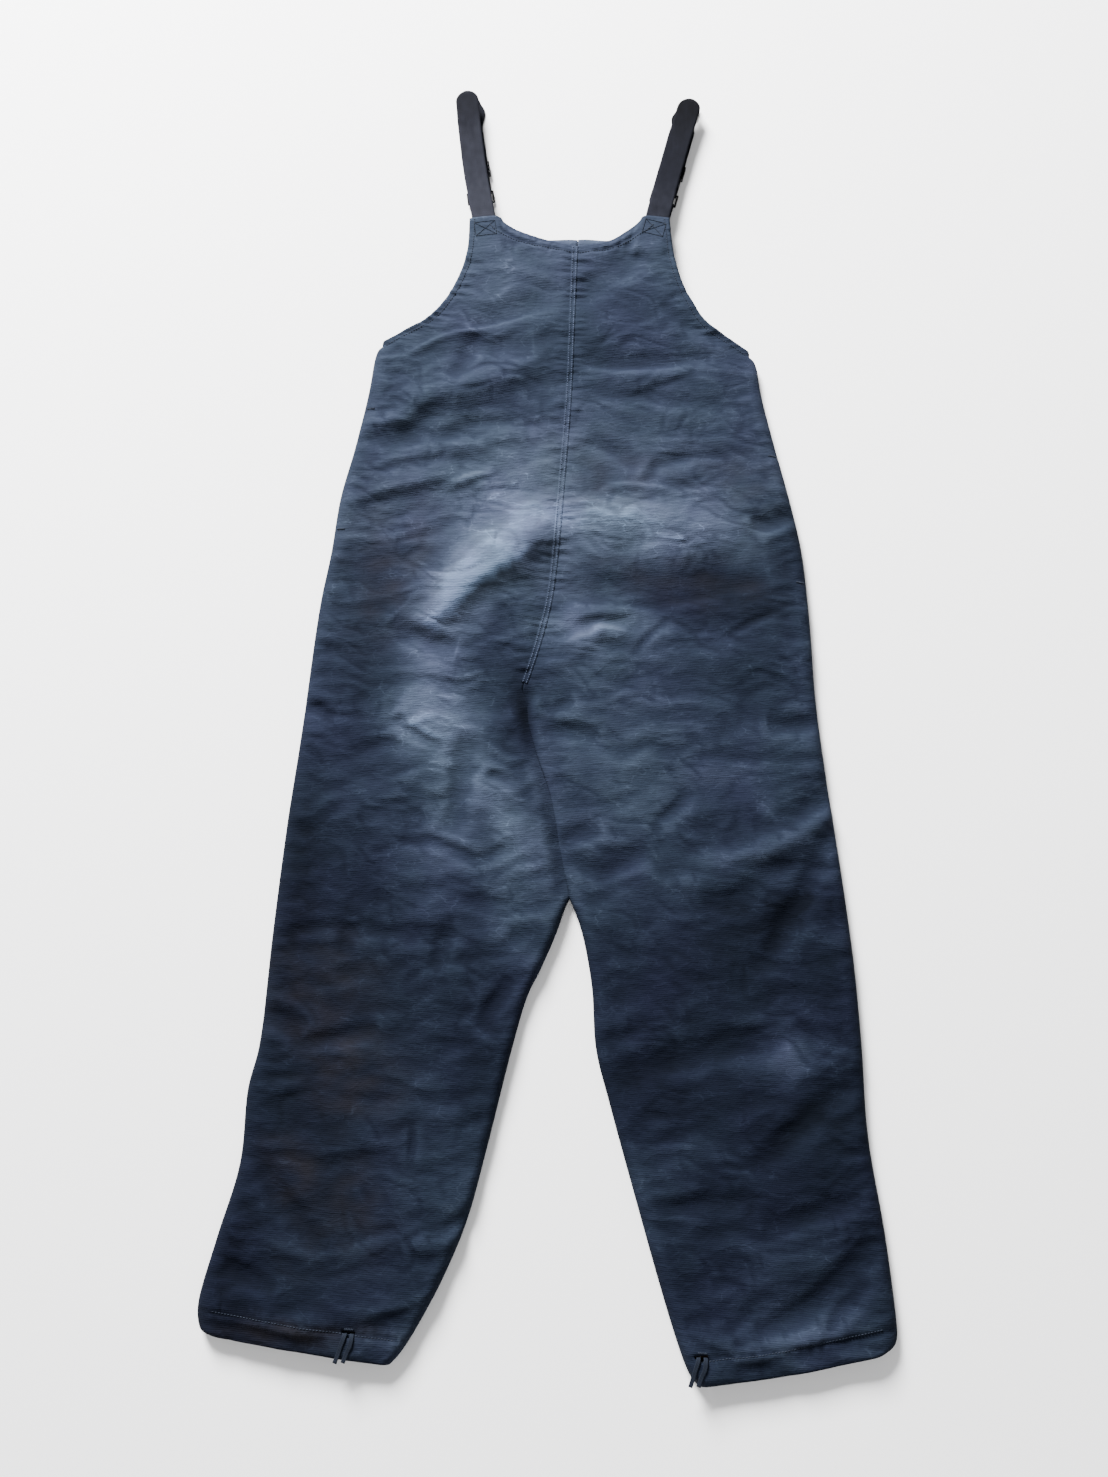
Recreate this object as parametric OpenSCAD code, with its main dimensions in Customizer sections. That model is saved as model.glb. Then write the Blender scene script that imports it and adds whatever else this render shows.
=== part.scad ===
// Lined cotton bib overalls of the deck-work style, laid flat with the back upwards.
// The garment frame has X = 0 on the centre-back seam at the neckline, +Y towards the
// straps and Z = 0 on the surface that the front lies on. Every piece is then moved
// so that the origin is under the middle of the whole garment.

/* [Lay] */
// Height of the garment as it lies, from the front cloth to the back cloth
lay_h = 22; // [20:0.5:26]

/* [Cloth] */
// Thickness of the outer cotton cloth
shell_t = 1.4; // [1:0.1:1.6]
// Thickness of the wool pile lining
lining_t = 2; // [1.5:0.1:2.2]
// Thickness of the inside facings
facing_t = 1.1; // [0.8:0.1:1.2]
// Air left between two plies
ply_gap = 0.3; // [0.2:0.05:0.3]

/* [Straps] */
// Width of the elastic strap webbing
strap_w = 32; // [24:1:32]
// Thickness of the strap webbing
strap_t = 1.6; // [1.2:0.1:1.8]
// Length of the left strap's loop beyond the bib
left_loop = 204; // [170:1:240]
// Length of the right strap's loop beyond the bib
right_loop = 196; // [170:1:240]
// How far the strap slide starts beyond the bib
slide_at = 76; // [70:1:84]

/* [Front zip] */
// Y of the zip's lower end, above the crotch
zip_low = 420; // [415:1:440]
// Y of the slider's middle when the zip is closed
slider_at = 905; // [860:1:905]
// Distance from one zip tooth to the next
tooth_pitch = 4; // [4:0.5:8]
// Length of the pull tab
pull_l = 24; // [18:1:26]

/* [Hems] */
// Depth of the turned-up hem at each ankle
hem_d = 30; // [26:1:36]
// Width of the draw tape in each hem
tape_w = 5; // [4:0.5:6]
// Length of each side slit
slit_l = 150; // [120:5:170]

/* [Hidden] */
$fn = 32;

cloth = "#2f3a52";
pile = "#6b5a49";
webbing = "#23242b";
thread = "#7c88a0";
metal = "#8d8a84";
tape = "#30343f";

// ---- Outline of the lay, walked from the neckline round each half ----------------
// Each stretch is a smooth curve through a few round points.
seam_back = [[-25, 317], [-12, 368], [0, 435], [4, 502], [5, 570], [6, 709], [3, 823], [0, 931]];
seam_front = [[-25, 317], [-13, 345], [-2, 372], [3, 392], [3, 440], [3, 931]];
fork = [[50, 68], [36, 122], [20, 186], [-2, 240], [-16, 282], [-25, 317]];

neck_l = [[0, 931], [-42, 938], [-74, 947], [-96, 958], [-106, 966]];
arm_l = [[-144, 960], [-143, 915], [-150, 880], [-166, 841], [-190, 811], [-218, 792], [-243, 777]];
side_l = [
    [-243, 777], [-252, 755], [-256, 700], [-266, 622], [-277, 555], [-281, 480],
    [-288, 400], [-292, 250], [-297, 130], [-299, 0], [-299, -120], [-307, -180],
    [-306, -260], [-322, -340], [-334, -405], [-330, -434], [-318, -442]
];
hem_l = [[-318, -442], [-210, -451], [-113, -458]];
leg_l = [
    [-113, -458], [-101, -443], [-85, -414], [-62, -364], [-40, -300], [-23, -215],
    [-6, -120], [8, -55], [22, -20], [38, 24], [50, 68]
];

neck_r = [[0, 931], [44, 942], [70, 960], [84, 973], [91, 980]];
arm_r = [[124, 979], [132, 930], [143, 894], [158, 863], [178, 834], [205, 815], [238, 796]];
side_r = [
    [238, 796], [250, 775], [257, 738], [274, 676], [298, 595], [316, 524], [329, 430],
    [339, 330], [354, 235], [374, 125], [392, 15], [403, -80], [412, -180], [432, -280],
    [446, -368], [447, -396], [436, -408]
];
hem_r = [[436, -408], [335, -435], [228, -456]];
leg_r = [
    [228, -456], [213, -436], [186, -370], [148, -265], [112, -163], [93, -104],
    [84, -35], [68, 28], [50, 68]
];

// A Catmull-Rom curve through the points, with steps points for each stretch.
function knot(p, i) = p[max(0, min(len(p) - 1, i))];
function along(a, b, c, d, t) =
    0.5 * (2 * b + (c - a) * t + (2 * a - 5 * b + 4 * c - d) * t * t
    + (3 * b - a - 3 * c + d) * t * t * t);
function smooth(p, steps = 2) = concat(
    [for (i = [0:len(p) - 2]) for (k = [0:steps - 1])
        along(knot(p, i - 1), p[i], p[i + 1], knot(p, i + 2), k / steps)],
    [p[len(p) - 1]]
);
function unit(v) = v / norm(v);
function left_of(v) = [-v[1], v[0]];
// A curve moved sideways by d, to its left.
function shifted(p, d) = [for (i = [0:len(p) - 1])
    p[i] + d * left_of(unit(knot(p, i + 1) - knot(p, i - 1)))];
function reversed(p) = [for (i = [len(p) - 1:-1:0]) p[i]];

// The two halves differ in their points and in the way round that they are walked.
LEFT = 0;
RIGHT = 1;
neck = [smooth(neck_l), smooth(neck_r)];
arm = [smooth(arm_l), smooth(arm_r)];
side = [smooth(side_l), smooth(side_r)];
hem = [smooth(hem_l), smooth(hem_r)];
function tail(p) = [for (i = [1:len(p) - 1]) p[i]];
leg = [concat(smooth(leg_l), tail(smooth(fork))), concat(smooth(leg_r), tail(smooth(fork)))];
inward = [1, -1];
reach = 500;                               // further than any edge of the lay
BACK = 0;
FRONT = 1;
seam = [smooth(seam_back), smooth(seam_front)];

// Half of the lay as a flat shape, with its folded edges moved in by d.
module plan(h, face, d = 0) polygon(concat(
    neck[h], arm[h], shifted(side[h], inward[h] * d),
    hem[h], shifted(leg[h], inward[h] * d), seam[face]
));
// The strip between a curve moved by a and the same curve moved by b.
module strip(p, a, b) polygon(concat(shifted(p, a), reversed(shifted(p, b))));

// A flat ply from z0 to z1. One cut from several outlines is joined in the flat first.
module ply(z0, z1) translate([0, 0, z0]) linear_extrude(z1 - z0) children();
module cut_ply(z0, z1) ply(z0, z1) offset(delta = 0) children();

// ---- Levels of the plies ----------------------------------------------------------
mid = lay_h / 2;
ply_2 = shell_t + ply_gap;                 // lining, facings and draw tape start here
lining_end = ply_2 + lining_t;
facing_end = ply_2 + facing_t;
anchor_in = facing_end + ply_gap;          // the sewn end of a strap
tape_t = 0.7;
hem_in = ply_2 + tape_t + ply_gap;         // hem facing, inside the draw tape

// A level counted inwards from the front cloth or from the back cloth.
module from_face(face) translate([0, 0, face == BACK ? lay_h : 0])
    mirror([0, 0, face == BACK ? 1 : 0]) children();

// Everything below this curve is lined, everything above it has a facing.
lining_top = [
    [-262, 752], [-240, 750], [-195, 772], [-160, 799], [-134, 832], [-113, 872],
    [-88, 899], [-50, 905], [3, 899], [50, 909], [86, 912], [110, 880], [128, 842],
    [150, 808], [184, 786], [232, 766], [258, 768]
];
module above_lining() polygon(concat([[-300, 1000], [-300, 752]], smooth(lining_top),
    [[300, 768], [300, 1000]]));
module corner_side(h) polygon(h == LEFT
    ? [[-300, 700], [-90, 700], [-90, 897], [-125, 1000], [-300, 1000]]
    : [[300, 700], [88, 700], [88, 910], [107, 1000], [300, 1000]]);

// The strip of one leg from lo to hi above its hem line.
hem_line = [[[-420, -434], [80, -473]], [[80, -490], [520, -388.4]]];
module hem_strip(h, lo, hi) polygon([
    hem_line[h][0] + [0, lo], hem_line[h][1] + [0, lo],
    hem_line[h][1] + [0, hi], hem_line[h][0] + [0, hi]
]);

// ---- Front opening and side slits ---------------------------------------------------
zip_x = 3;
zip_top = 922;
top_edge = 931;                            // neckline at the centre
mouth = 7;                                 // half the width of the front opening
mouth_low = 394;
fly_w = 20;                                // half the width that the fly facings take
slit_lo = [520, 490];                      // lower end of each side slit
slit_h = 7;
slit_edge = 5;                             // binding past each end of a slit

module front_mouth(w, low) translate([zip_x - w, low]) square([2 * w, reach + top_edge - low]);
module slit_box(h) translate([h == LEFT ? -reach : 0, slit_lo[h], mid - slit_h / 2])
    cube([reach, slit_l, slit_h]);

// Holes in the back of each hem where the two ends of the draw tape come out.
eyelet = [[-161, -427], [230, -424]];
eyelet_w = 14;
eyelet_h = 6;
module eyelet_hole(h) translate(eyelet[h]) square([eyelet_w, eyelet_h], center = true);

// ---- Panels, linings and facings ------------------------------------------------------
module back_panel(h) color(cloth) from_face(BACK) cut_ply(0, shell_t) difference() {
    plan(h, BACK);
    eyelet_hole(h);
}

module front_panel(h) color(cloth) cut_ply(0, shell_t) difference() {
    plan(h, FRONT);
    front_mouth(mouth, mouth_low);
}

// The folded side of a half, with its felled seam inside, and the slit that it leaves.
module side_seam(h) color(cloth) difference() {
    ply(shell_t, lay_h - shell_t) strip(side[h], 0, inward[h] * shell_t);
    slit_box(h);
}
// The inner edge of a leg, from the hem to the crotch.
module inseam(h) color(cloth)
    ply(shell_t, lay_h - shell_t) strip(leg[h], 0, inward[h] * shell_t);

module lining(h, face) color(pile) from_face(face) cut_ply(ply_2, lining_end) difference() {
    plan(h, face, ply_2);
    above_lining();
    hem_strip(h, -hem_d, hem_d);
    if (face == FRONT) front_mouth(fly_w, mouth_low - 12);
}

module back_neck_facing() color(cloth) from_face(BACK) cut_ply(ply_2, facing_end) difference() {
    intersection() {
        union() {
            plan(LEFT, BACK);
            plan(RIGHT, BACK);
        }
        above_lining();
    }
    corner_side(LEFT);
    corner_side(RIGHT);
}

module front_neck_facing(h) color(cloth) cut_ply(ply_2, facing_end) difference() {
    intersection() {
        plan(h, FRONT);
        above_lining();
    }
    corner_side(h);
    front_mouth(fly_w, 700);
}

module armhole_facing(h, face) color(cloth) from_face(face) cut_ply(ply_2, facing_end) intersection() {
    plan(h, face, ply_2);
    above_lining();
    corner_side(h);
}

// A frame of cloth round the slit, against the inside of the folded side.
module slit_binding(h) color(cloth) difference() {
    cut_ply(lining_end + ply_gap, lay_h - lining_end - ply_gap) intersection() {
        strip(side[h], inward[h] * ply_2, inward[h] * (ply_2 + facing_t));
        translate([-reach, slit_lo[h] - slit_edge]) square([2 * reach, slit_l + 2 * slit_edge]);
    }
    slit_box(h);
}

// A flat sleeve inside one leg, d in from the cloth and t thick, from lo to hi above the hem.
module hem_sleeve(h, d, t, lo, hi) {
    for (face = [BACK, FRONT]) from_face(face) cut_ply(d, d + t) intersection() {
        plan(h, face, d);
        hem_strip(h, lo, hi);
    }
    for (edge = [side[h], leg[h]]) cut_ply(d + t, lay_h - d - t) intersection() {
        strip(edge, inward[h] * d, inward[h] * (d + t));
        hem_strip(h, lo, hi);
    }
}
module hem_facing(h) color(cloth) hem_sleeve(h, hem_in, facing_t, 1, hem_d - 1);
module draw_tape(h) color(tape) hem_sleeve(h, ply_2, tape_t, 12, 12 + tape_w);

// ---- Seams and stitches ---------------------------------------------------------------
fell_w = 10;
fell_t = 0.7;
thread_w = 0.8;
thread_t = 0.4;

module back_seam_fell() color(cloth)
    ply(lay_h, lay_h + fell_t) strip(seam[BACK], -fell_w / 2, fell_w / 2);

module back_seam_threads() color(thread) for (x = [-3.4, 3.4])
    ply(lay_h + fell_t, lay_h + fell_t + thread_t)
        strip(seam[BACK], x - thread_w / 2, x + thread_w / 2);

// A row of stitching at distance d inside a curve.
module row(p, d) strip(p, d - thread_w / 2, d + thread_w / 2);
module edge_threads() color(thread) cut_ply(lay_h, lay_h + thread_t) difference() {
    for (h = [LEFT, RIGHT]) {
        row(neck[h], inward[h] * 8);
        row(arm[h], inward[h] * 7);
        row(hem[h], inward[h] * (hem_d - 3));
    }
    strip(seam[BACK], -fell_w / 2, fell_w / 2);
    for (h = [LEFT, RIGHT]) eyelet_hole(h);
}

// Bar tacks by each eyelet and at the ends of each side slit.
tack = [10, 2, 0.6];
function fold_x(h, y) = let (near = [for (q = side[h]) if (abs(q[1] - y) < 25) q[0]])
    h == LEFT ? max(near) + 6 : min(near) - tack[0] - 6;
module bar_tacks() color(thread) for (h = [LEFT, RIGHT]) {
    translate([eyelet[h][0] - tack[0] / 2, eyelet[h][1] + 4, lay_h]) cube(tack);
    for (y = [slit_lo[h] - 10, slit_lo[h] + slit_l + 8])
        translate([fold_x(h, y), y, lay_h]) cube(tack);
}

// ---- Draw tape ends -------------------------------------------------------------------
// Each end comes up through the eyelet and lies over the hem. Points are from the eyelet.
end_route = [
    [[-4, 0, -1.2], [-4, -1, 1], [-5, -5, 2.2], [-7, -12, 2], [-9, -20, 1.5], [-12, -30, 1.5]],
    [[4, 0, -1.2], [4, -1, 1.2], [4, -5, 2.6], [3, -12, 2.4], [0, -19, 1.6], [-3, -29, 1.5]]
];
end_t = 1.2;
end_sides = 8;

// Ring i of a flat tape that follows route p, lying with its width across the path.
function ring_at(p, i) = let (
    t = unit(knot(p, i + 1) - knot(p, i - 1)),
    across = unit([t[1] * -1, t[0], 0] * (t[1] > 0 ? 1 : -1)),
    up = cross(t, across)
) [for (k = [0:end_sides - 1]) let (a = 360 * k / end_sides)
    p[i] + across * (tape_w / 2) * cos(a) + up * (end_t / 2) * sin(a)];

module tape_end(h, which) {
    p = smooth(end_route[which], 2);
    n = len(p);
    rings = [for (i = [0:n - 1]) each ring_at(p, i)];
    sides = [for (i = [0:n - 2]) for (k = [0:end_sides - 1]) let (m = (k + 1) % end_sides)
        [i * end_sides + k, i * end_sides + m, (i + 1) * end_sides + m, (i + 1) * end_sides + k]];
    start = [for (k = [end_sides - 1:-1:0]) k];
    finish = [for (k = [0:end_sides - 1]) (n - 1) * end_sides + k];
    color(tape) translate([eyelet[h][0], eyelet[h][1], lay_h])
        polyhedron(rings, concat(sides, [start, finish]), convexity = 4);
}

// ---- Zip ------------------------------------------------------------------------------
fly_in = ply_2;
fly_t = 2;                                 // cloth folded twice under the zip tape
zip_in = fly_in + fly_t + ply_gap;         // level of the zip tapes
zip_mid = zip_in + tape_t / 2;
tooth_h = 2.4;
tooth_in = 0.9;                            // teeth start this far from the zip's middle
tooth_out = 2.95;
slider_t = 1;
slider_l = 19;
slider_w = 10.4;
slider_gap = 0.3;

module mirrored(h) translate([zip_x, 0, 0]) mirror([h == LEFT ? 1 : 0, 0, 0]) children();

module fly_facing(h) color(cloth) mirrored(h)
    translate([mouth + 0.2, mouth_low, fly_in]) cube([fly_w - mouth - 0.4, zip_top - mouth_low, fly_t]);

module zip_tape(h) color(tape) mirrored(h)
    translate([tooth_out + 0.05, zip_low - 14, zip_in])
        cube([fly_w - tooth_out - 1, zip_top - zip_low + 14, tape_t]);

// A comb: a bead along the tape's edge with a tooth at each pitch.
module zip_teeth(h) {
    first = zip_low + 6 + (h == LEFT ? tooth_pitch / 2 : 0);
    count = floor((slider_at + 8 - first) / tooth_pitch);
    comb = [for (i = [0:count - 1]) let (y = first + i * tooth_pitch) each [
        [tooth_out - 0.9, y], [tooth_in, y], [tooth_in, y + tooth_pitch * 0.45],
        [tooth_out - 0.9, y + tooth_pitch * 0.45]
    ]];
    color(metal) mirrored(h) ply(zip_mid - tooth_h / 2, zip_mid + tooth_h / 2)
        polygon(concat([[tooth_out, first - 1]], [[tooth_out - 0.9, first - 1]], comb,
            [[tooth_out - 0.9, first + count * tooth_pitch], [tooth_out, first + count * tooth_pitch]]));
}

plate_z = tooth_h / 2 + slider_gap;        // inner face of a slider plate from the chain's middle
pin_y = -slider_l / 2 - 2.2;               // pull pin from the slider's middle
pin_z = 1.15;
pin_r = 0.5;
pin_l = 5.2;                               // across both lugs that hold the pin
lug_gap = 3.2;
lug_end = 0.9;                             // lugs go this far past the pin
lug_z = 0.4;

module slider_plate() hull() {
    translate([0, slider_l / 2 - slider_w / 2, 0]) cylinder(d = slider_w, h = slider_t);
    translate([0, -slider_l / 2 + 3, 0]) cylinder(d = 6, h = slider_t);
}

module zip_slider() color(metal) translate([zip_x, slider_at, 0]) {
    translate([0, 0, zip_mid + plate_z]) slider_plate();
    difference() {
        union() {
            translate([0, 0, zip_mid - plate_z - slider_t]) slider_plate();
            translate([-pin_l / 2, pin_y - lug_end, lug_z])
                cube([pin_l, 6, zip_mid - plate_z - lug_z]);
        }
        translate([-lug_gap / 2, pin_y - 1.8, -1]) cube([lug_gap, 5.4, 8]);
    }
    translate([-0.55, slider_l / 2 - 5, zip_mid - plate_z - 0.1]) cube([1.1, 4, 2 * plate_z + 0.2]);
    translate([-pin_l / 2, pin_y, pin_z]) rotate([0, 90, 0]) cylinder(r = pin_r, h = pin_l);
}

pull_w = 7.2;
pull_t = 0.9;
eye_w = 2.6;                               // width of the pull where it turns on the pin
eye_r = 1.05;
module zip_pull() color(metal) translate([zip_x, slider_at + pin_y, pin_z]) difference() {
    union() {
        translate([-eye_w / 2, 0, 0]) rotate([0, 90, 0]) cylinder(r = eye_r, h = eye_w);
        translate([0, 0, -eye_r + 0.1]) {
            translate([-eye_w / 2, -4, 0]) cube([eye_w, 4, pull_t]);
            translate([-pull_w / 2, (pull_w - 2 * pull_l) / 2, 0]) cube([pull_w, pull_l - pull_w, pull_t]);
            translate([0, pull_w / 2 - pull_l, 0]) cylinder(d = pull_w, h = pull_t);
        }
    }
    translate([-eye_w, 0, 0]) rotate([0, 90, 0]) cylinder(r = pin_r + 0.06, h = 2 * eye_w);
    translate([0, 4 - pull_l, -2]) cylinder(d = pull_w / 2, h = 4);
}

stop_l = 3.5;
stop_h = 3.6;
module stop_block(x, y, w) translate([zip_x + x, y, zip_mid - stop_h / 2]) cube([w, stop_l, stop_h]);
module top_stops() color(metal) for (x = [tooth_in, -tooth_out])
    stop_block(x, slider_at + slider_l / 2 + 1.5, tooth_out - tooth_in);
module bottom_stop() color(metal) stop_block(-tooth_out, zip_low - stop_l, 2 * tooth_out);

flap_x = [-27, 24];                        // edges of the wind flap from the zip's middle
flap_t = 1.2;
flap_z = zip_mid + plate_z + slider_t + ply_gap;
module wind_flap() color(cloth) translate([zip_x + flap_x[0], mouth_low - 2, 0]) {
    translate([0, 0, flap_z]) cube([flap_x[1] - flap_x[0], zip_top - mouth_low, flap_t]);
    translate([0, 0, lining_end]) cube([5, 895 - mouth_low, flap_z - lining_end]);
}

// ---- Straps ---------------------------------------------------------------------------
// Each strap has its own frame: origin at the middle of the bib's corner, +Y along it.
corner = [[-125, 963, 0], [107.5, 979.5, 0]];
lean = [11.7, -11.4];
loop_l = [left_loop, right_loop];
upper_z = lay_h - anchor_in - strap_t / 2; // middle of the strap's upper run
lower_z = anchor_in + strap_t / 2;         // middle of the front tab
bar_r = 1.3;
wrap_r = bar_r + 0.15;                     // inside radius of webbing round a bar
hinge_z = (upper_z + strap_t / 2 + lower_z - wrap_r - strap_t) / 2;
free_from = 20;                            // the moving loop starts this far from the bib
sewn_l = 45;
stub = 3;
ring_lo = 34;                              // lower bar of the ring
ring_hi = 50;                              // upper bar of the ring
tail_end = 150;

module strap_frame(h) translate(corner[h]) rotate([0, 0, lean[h]]) children();
// A flat profile drawn as [along, height], given the strap's width.
module across(w) translate([-w / 2, 0, 0]) rotate([90, 0, 90]) linear_extrude(w) children();

module strap_anchor(h) color(webbing) strap_frame(h) across(strap_w)
    translate([-sewn_l, upper_z - strap_t / 2]) square([sewn_l + stub, strap_t]);
module front_tab(h) color(webbing) strap_frame(h) across(strap_w)
    translate([-sewn_l, lower_z - strap_t / 2]) square([sewn_l + stub, strap_t]);

// Half of a ring of strap round [y, z], open to the left or right.
module half_wrap(y, z, r_in, r_out, dir) translate([y, z]) intersection() {
    difference() {
        circle(r = r_out, $fn = 64);
        circle(r = r_in, $fn = 64);
    }
    translate([dir > 0 ? 0 : -2 * r_out, -r_out]) square(2 * r_out);
}
module run(y0, y1, z0) translate([y0, z0]) square([y1 - y0, strap_t]);

module strap(h) {
    low = lower_z - wrap_r - strap_t;
    big_r = (upper_z + strap_t / 2 - low) / 2;
    turn = loop_l[h] - big_r;
    color(webbing) strap_frame(h) across(strap_w) union() {
        run(free_from, turn, upper_z - strap_t / 2);
        half_wrap(turn, hinge_z, big_r - strap_t, big_r, 1);
        run(ring_hi, turn, low);
        half_wrap(ring_hi, lower_z, wrap_r, wrap_r + strap_t, -1);
        run(ring_hi, tail_end, lower_z + wrap_r);
    }
}

module tab_loop(h) {
    low = lower_z - wrap_r - strap_t;
    color(webbing) strap_frame(h) across(strap_w) union() {
        run(free_from, ring_lo, low);
        half_wrap(ring_lo, lower_z, wrap_r, wrap_r + strap_t, 1);
        run(free_from, ring_lo, lower_z + wrap_r);
    }
}

module rod(x0, x1, y, z, r) translate([x0, y, z]) rotate([0, 90, 0]) cylinder(r = r, h = x1 - x0);
module ring(h) color(metal) strap_frame(h) {
    half = strap_w / 2 + 1.5;
    for (y = [ring_lo, ring_hi]) rod(-half, half, y, lower_z, bar_r);
    for (x = [-half, half]) {
        translate([x, ring_lo, lower_z]) rotate([-90, 0, 0]) cylinder(r = bar_r, h = ring_hi - ring_lo);
        for (y = [ring_lo, ring_hi]) translate([x, y, lower_z]) sphere(r = bar_r);
    }
}

// A flat slide: two rails, a bar between the strap's two layers, a bar below each end.
slide_l = 18;
rail_w = 1.4;
rail_z = 0.1;                              // underside of the slide
module slide(h) color(metal) strap_frame(h) translate([0, slide_at, 0]) {
    half = strap_w / 2 + 0.5;
    low = lower_z - wrap_r - strap_t - ply_gap;
    high = lower_z + wrap_r + strap_t + ply_gap;
    for (x = [-half - rail_w, half]) translate([x, 0, rail_z]) cube([rail_w, slide_l, high + 0.5]);
    for (y = [0, slide_l - rail_w]) {
        translate([-half, y, rail_z]) cube([2 * half, rail_w, low - rail_z]);
        translate([-half, y, high]) cube([2 * half, rail_w, 0.6]);
    }
    rod(-half - 0.1, half + 0.1, slide_l / 2, lower_z, 1.1);
}

// ---- Placing ----------------------------------------------------------------------------
function xs(p) = [for (q = p) q[0]];
function ys(p) = [for (q = p) q[1]];
top_y = max([for (h = [LEFT, RIGHT]) corner[h][1] + loop_l[h] * cos(lean[h])
    + strap_w / 2 * sin(abs(lean[h]))]);
low_y = min(concat(ys(hem[LEFT]), ys(leg[LEFT])));
wide = [min(xs(side[LEFT])), max(xs(side[RIGHT]))];
module lay() translate([-(wide[0] + wide[1]) / 2, -(top_y + low_y) / 2, 0]) children();

lay() back_panel(LEFT);  // left_back_panel
lay() back_panel(RIGHT);  // right_back_panel
lay() front_panel(LEFT);  // left_front_panel
lay() front_panel(RIGHT);  // right_front_panel
lay() side_seam(LEFT);  // left_side_seam
lay() side_seam(RIGHT);  // right_side_seam
lay() inseam(LEFT);  // left_inseam
lay() inseam(RIGHT);  // right_inseam
lay() lining(LEFT, BACK);  // left_back_lining
lay() lining(RIGHT, BACK);  // right_back_lining
lay() lining(LEFT, FRONT);  // left_front_lining
lay() lining(RIGHT, FRONT);  // right_front_lining
lay() back_neck_facing();
lay() front_neck_facing(LEFT);  // left_neck_facing
lay() front_neck_facing(RIGHT);  // right_neck_facing
lay() armhole_facing(LEFT, BACK);  // left_back_armhole_facing
lay() armhole_facing(RIGHT, BACK);  // right_back_armhole_facing
lay() armhole_facing(LEFT, FRONT);  // left_front_armhole_facing
lay() armhole_facing(RIGHT, FRONT);  // right_front_armhole_facing
lay() back_seam_fell();
lay() back_seam_threads();
lay() edge_threads();
lay() bar_tacks();
lay() slit_binding(LEFT);  // left_slit_binding
lay() slit_binding(RIGHT);  // right_slit_binding
lay() hem_facing(LEFT);  // left_hem_facing
lay() hem_facing(RIGHT);  // right_hem_facing
lay() draw_tape(LEFT);  // left_draw_tape
lay() draw_tape(RIGHT);  // right_draw_tape
lay() tape_end(LEFT, 0);  // left_tape_end_a
lay() tape_end(LEFT, 1);  // left_tape_end_b
lay() tape_end(RIGHT, 0);  // right_tape_end_a
lay() tape_end(RIGHT, 1);  // right_tape_end_b
lay() fly_facing(LEFT);  // left_fly_facing
lay() fly_facing(RIGHT);  // right_fly_facing
lay() wind_flap();
lay() zip_tape(LEFT);  // left_zip_tape
lay() zip_tape(RIGHT);  // right_zip_tape
lay() zip_teeth(LEFT);  // left_zip_teeth
lay() zip_teeth(RIGHT);  // right_zip_teeth
lay() zip_slider();
lay() zip_pull();
lay() top_stops();
lay() bottom_stop();
lay() strap_anchor(LEFT);  // left_strap_anchor
lay() strap_anchor(RIGHT);  // right_strap_anchor
lay() front_tab(LEFT);  // left_front_tab
lay() front_tab(RIGHT);  // right_front_tab
lay() strap(LEFT);  // left_strap
lay() strap(RIGHT);  // right_strap
lay() tab_loop(LEFT);  // left_tab_loop
lay() tab_loop(RIGHT);  // right_tab_loop
lay() ring(LEFT);  // left_ring
lay() ring(RIGHT);  // right_ring
lay() slide(LEFT);  // left_slide
lay() slide(RIGHT);  // right_slide
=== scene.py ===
"""Lined bib overalls lying on a pale floor with their back upwards.

The cloth is laid out in garment millimetres: x = 0 on the centre-back seam at the neckline,
y towards the straps and z = 0 on the floor. place() turns garment points into frame metres.
"""

import math

import bpy
import numpy as np
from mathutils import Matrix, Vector
from mathutils.bvhtree import BVHTree


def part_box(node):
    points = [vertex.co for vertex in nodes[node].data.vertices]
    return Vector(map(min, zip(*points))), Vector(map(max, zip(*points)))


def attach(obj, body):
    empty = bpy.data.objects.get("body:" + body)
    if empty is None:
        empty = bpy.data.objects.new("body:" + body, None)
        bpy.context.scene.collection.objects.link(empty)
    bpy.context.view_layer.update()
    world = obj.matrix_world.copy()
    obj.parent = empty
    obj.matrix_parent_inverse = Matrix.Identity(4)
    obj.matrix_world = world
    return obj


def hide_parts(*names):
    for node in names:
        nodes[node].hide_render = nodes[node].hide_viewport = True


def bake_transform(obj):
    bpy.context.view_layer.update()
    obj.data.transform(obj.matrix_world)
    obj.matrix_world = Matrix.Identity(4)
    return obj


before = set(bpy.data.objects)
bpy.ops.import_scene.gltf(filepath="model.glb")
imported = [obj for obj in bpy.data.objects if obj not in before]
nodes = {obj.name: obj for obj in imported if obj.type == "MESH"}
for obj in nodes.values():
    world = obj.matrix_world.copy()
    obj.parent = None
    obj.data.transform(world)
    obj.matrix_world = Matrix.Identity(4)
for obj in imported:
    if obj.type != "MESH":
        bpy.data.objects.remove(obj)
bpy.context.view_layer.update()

# ---- Garment space ----
MM = 0.001
ZIP_X, TAPE_TOP = 3, 922                       # middle and top of the front zip
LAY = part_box("back_seam_fell")[0].z / MM       # level of the back cloth in the frame
LEFT, RIGHT = -1, 1

slider_lo, slider_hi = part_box("zip_slider")
ORIGIN = np.array([
    (slider_lo.x + slider_hi.x) / 2 - ZIP_X * MM,
    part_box("left_zip_tape")[1].y - TAPE_TOP * MM,
    0,
])


def place(points):
    """Frame metres of garment points."""
    return np.asarray(points, float) * MM + ORIGIN


def spot(x, y, z=0):
    return Vector(place([x, y, z]))


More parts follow.
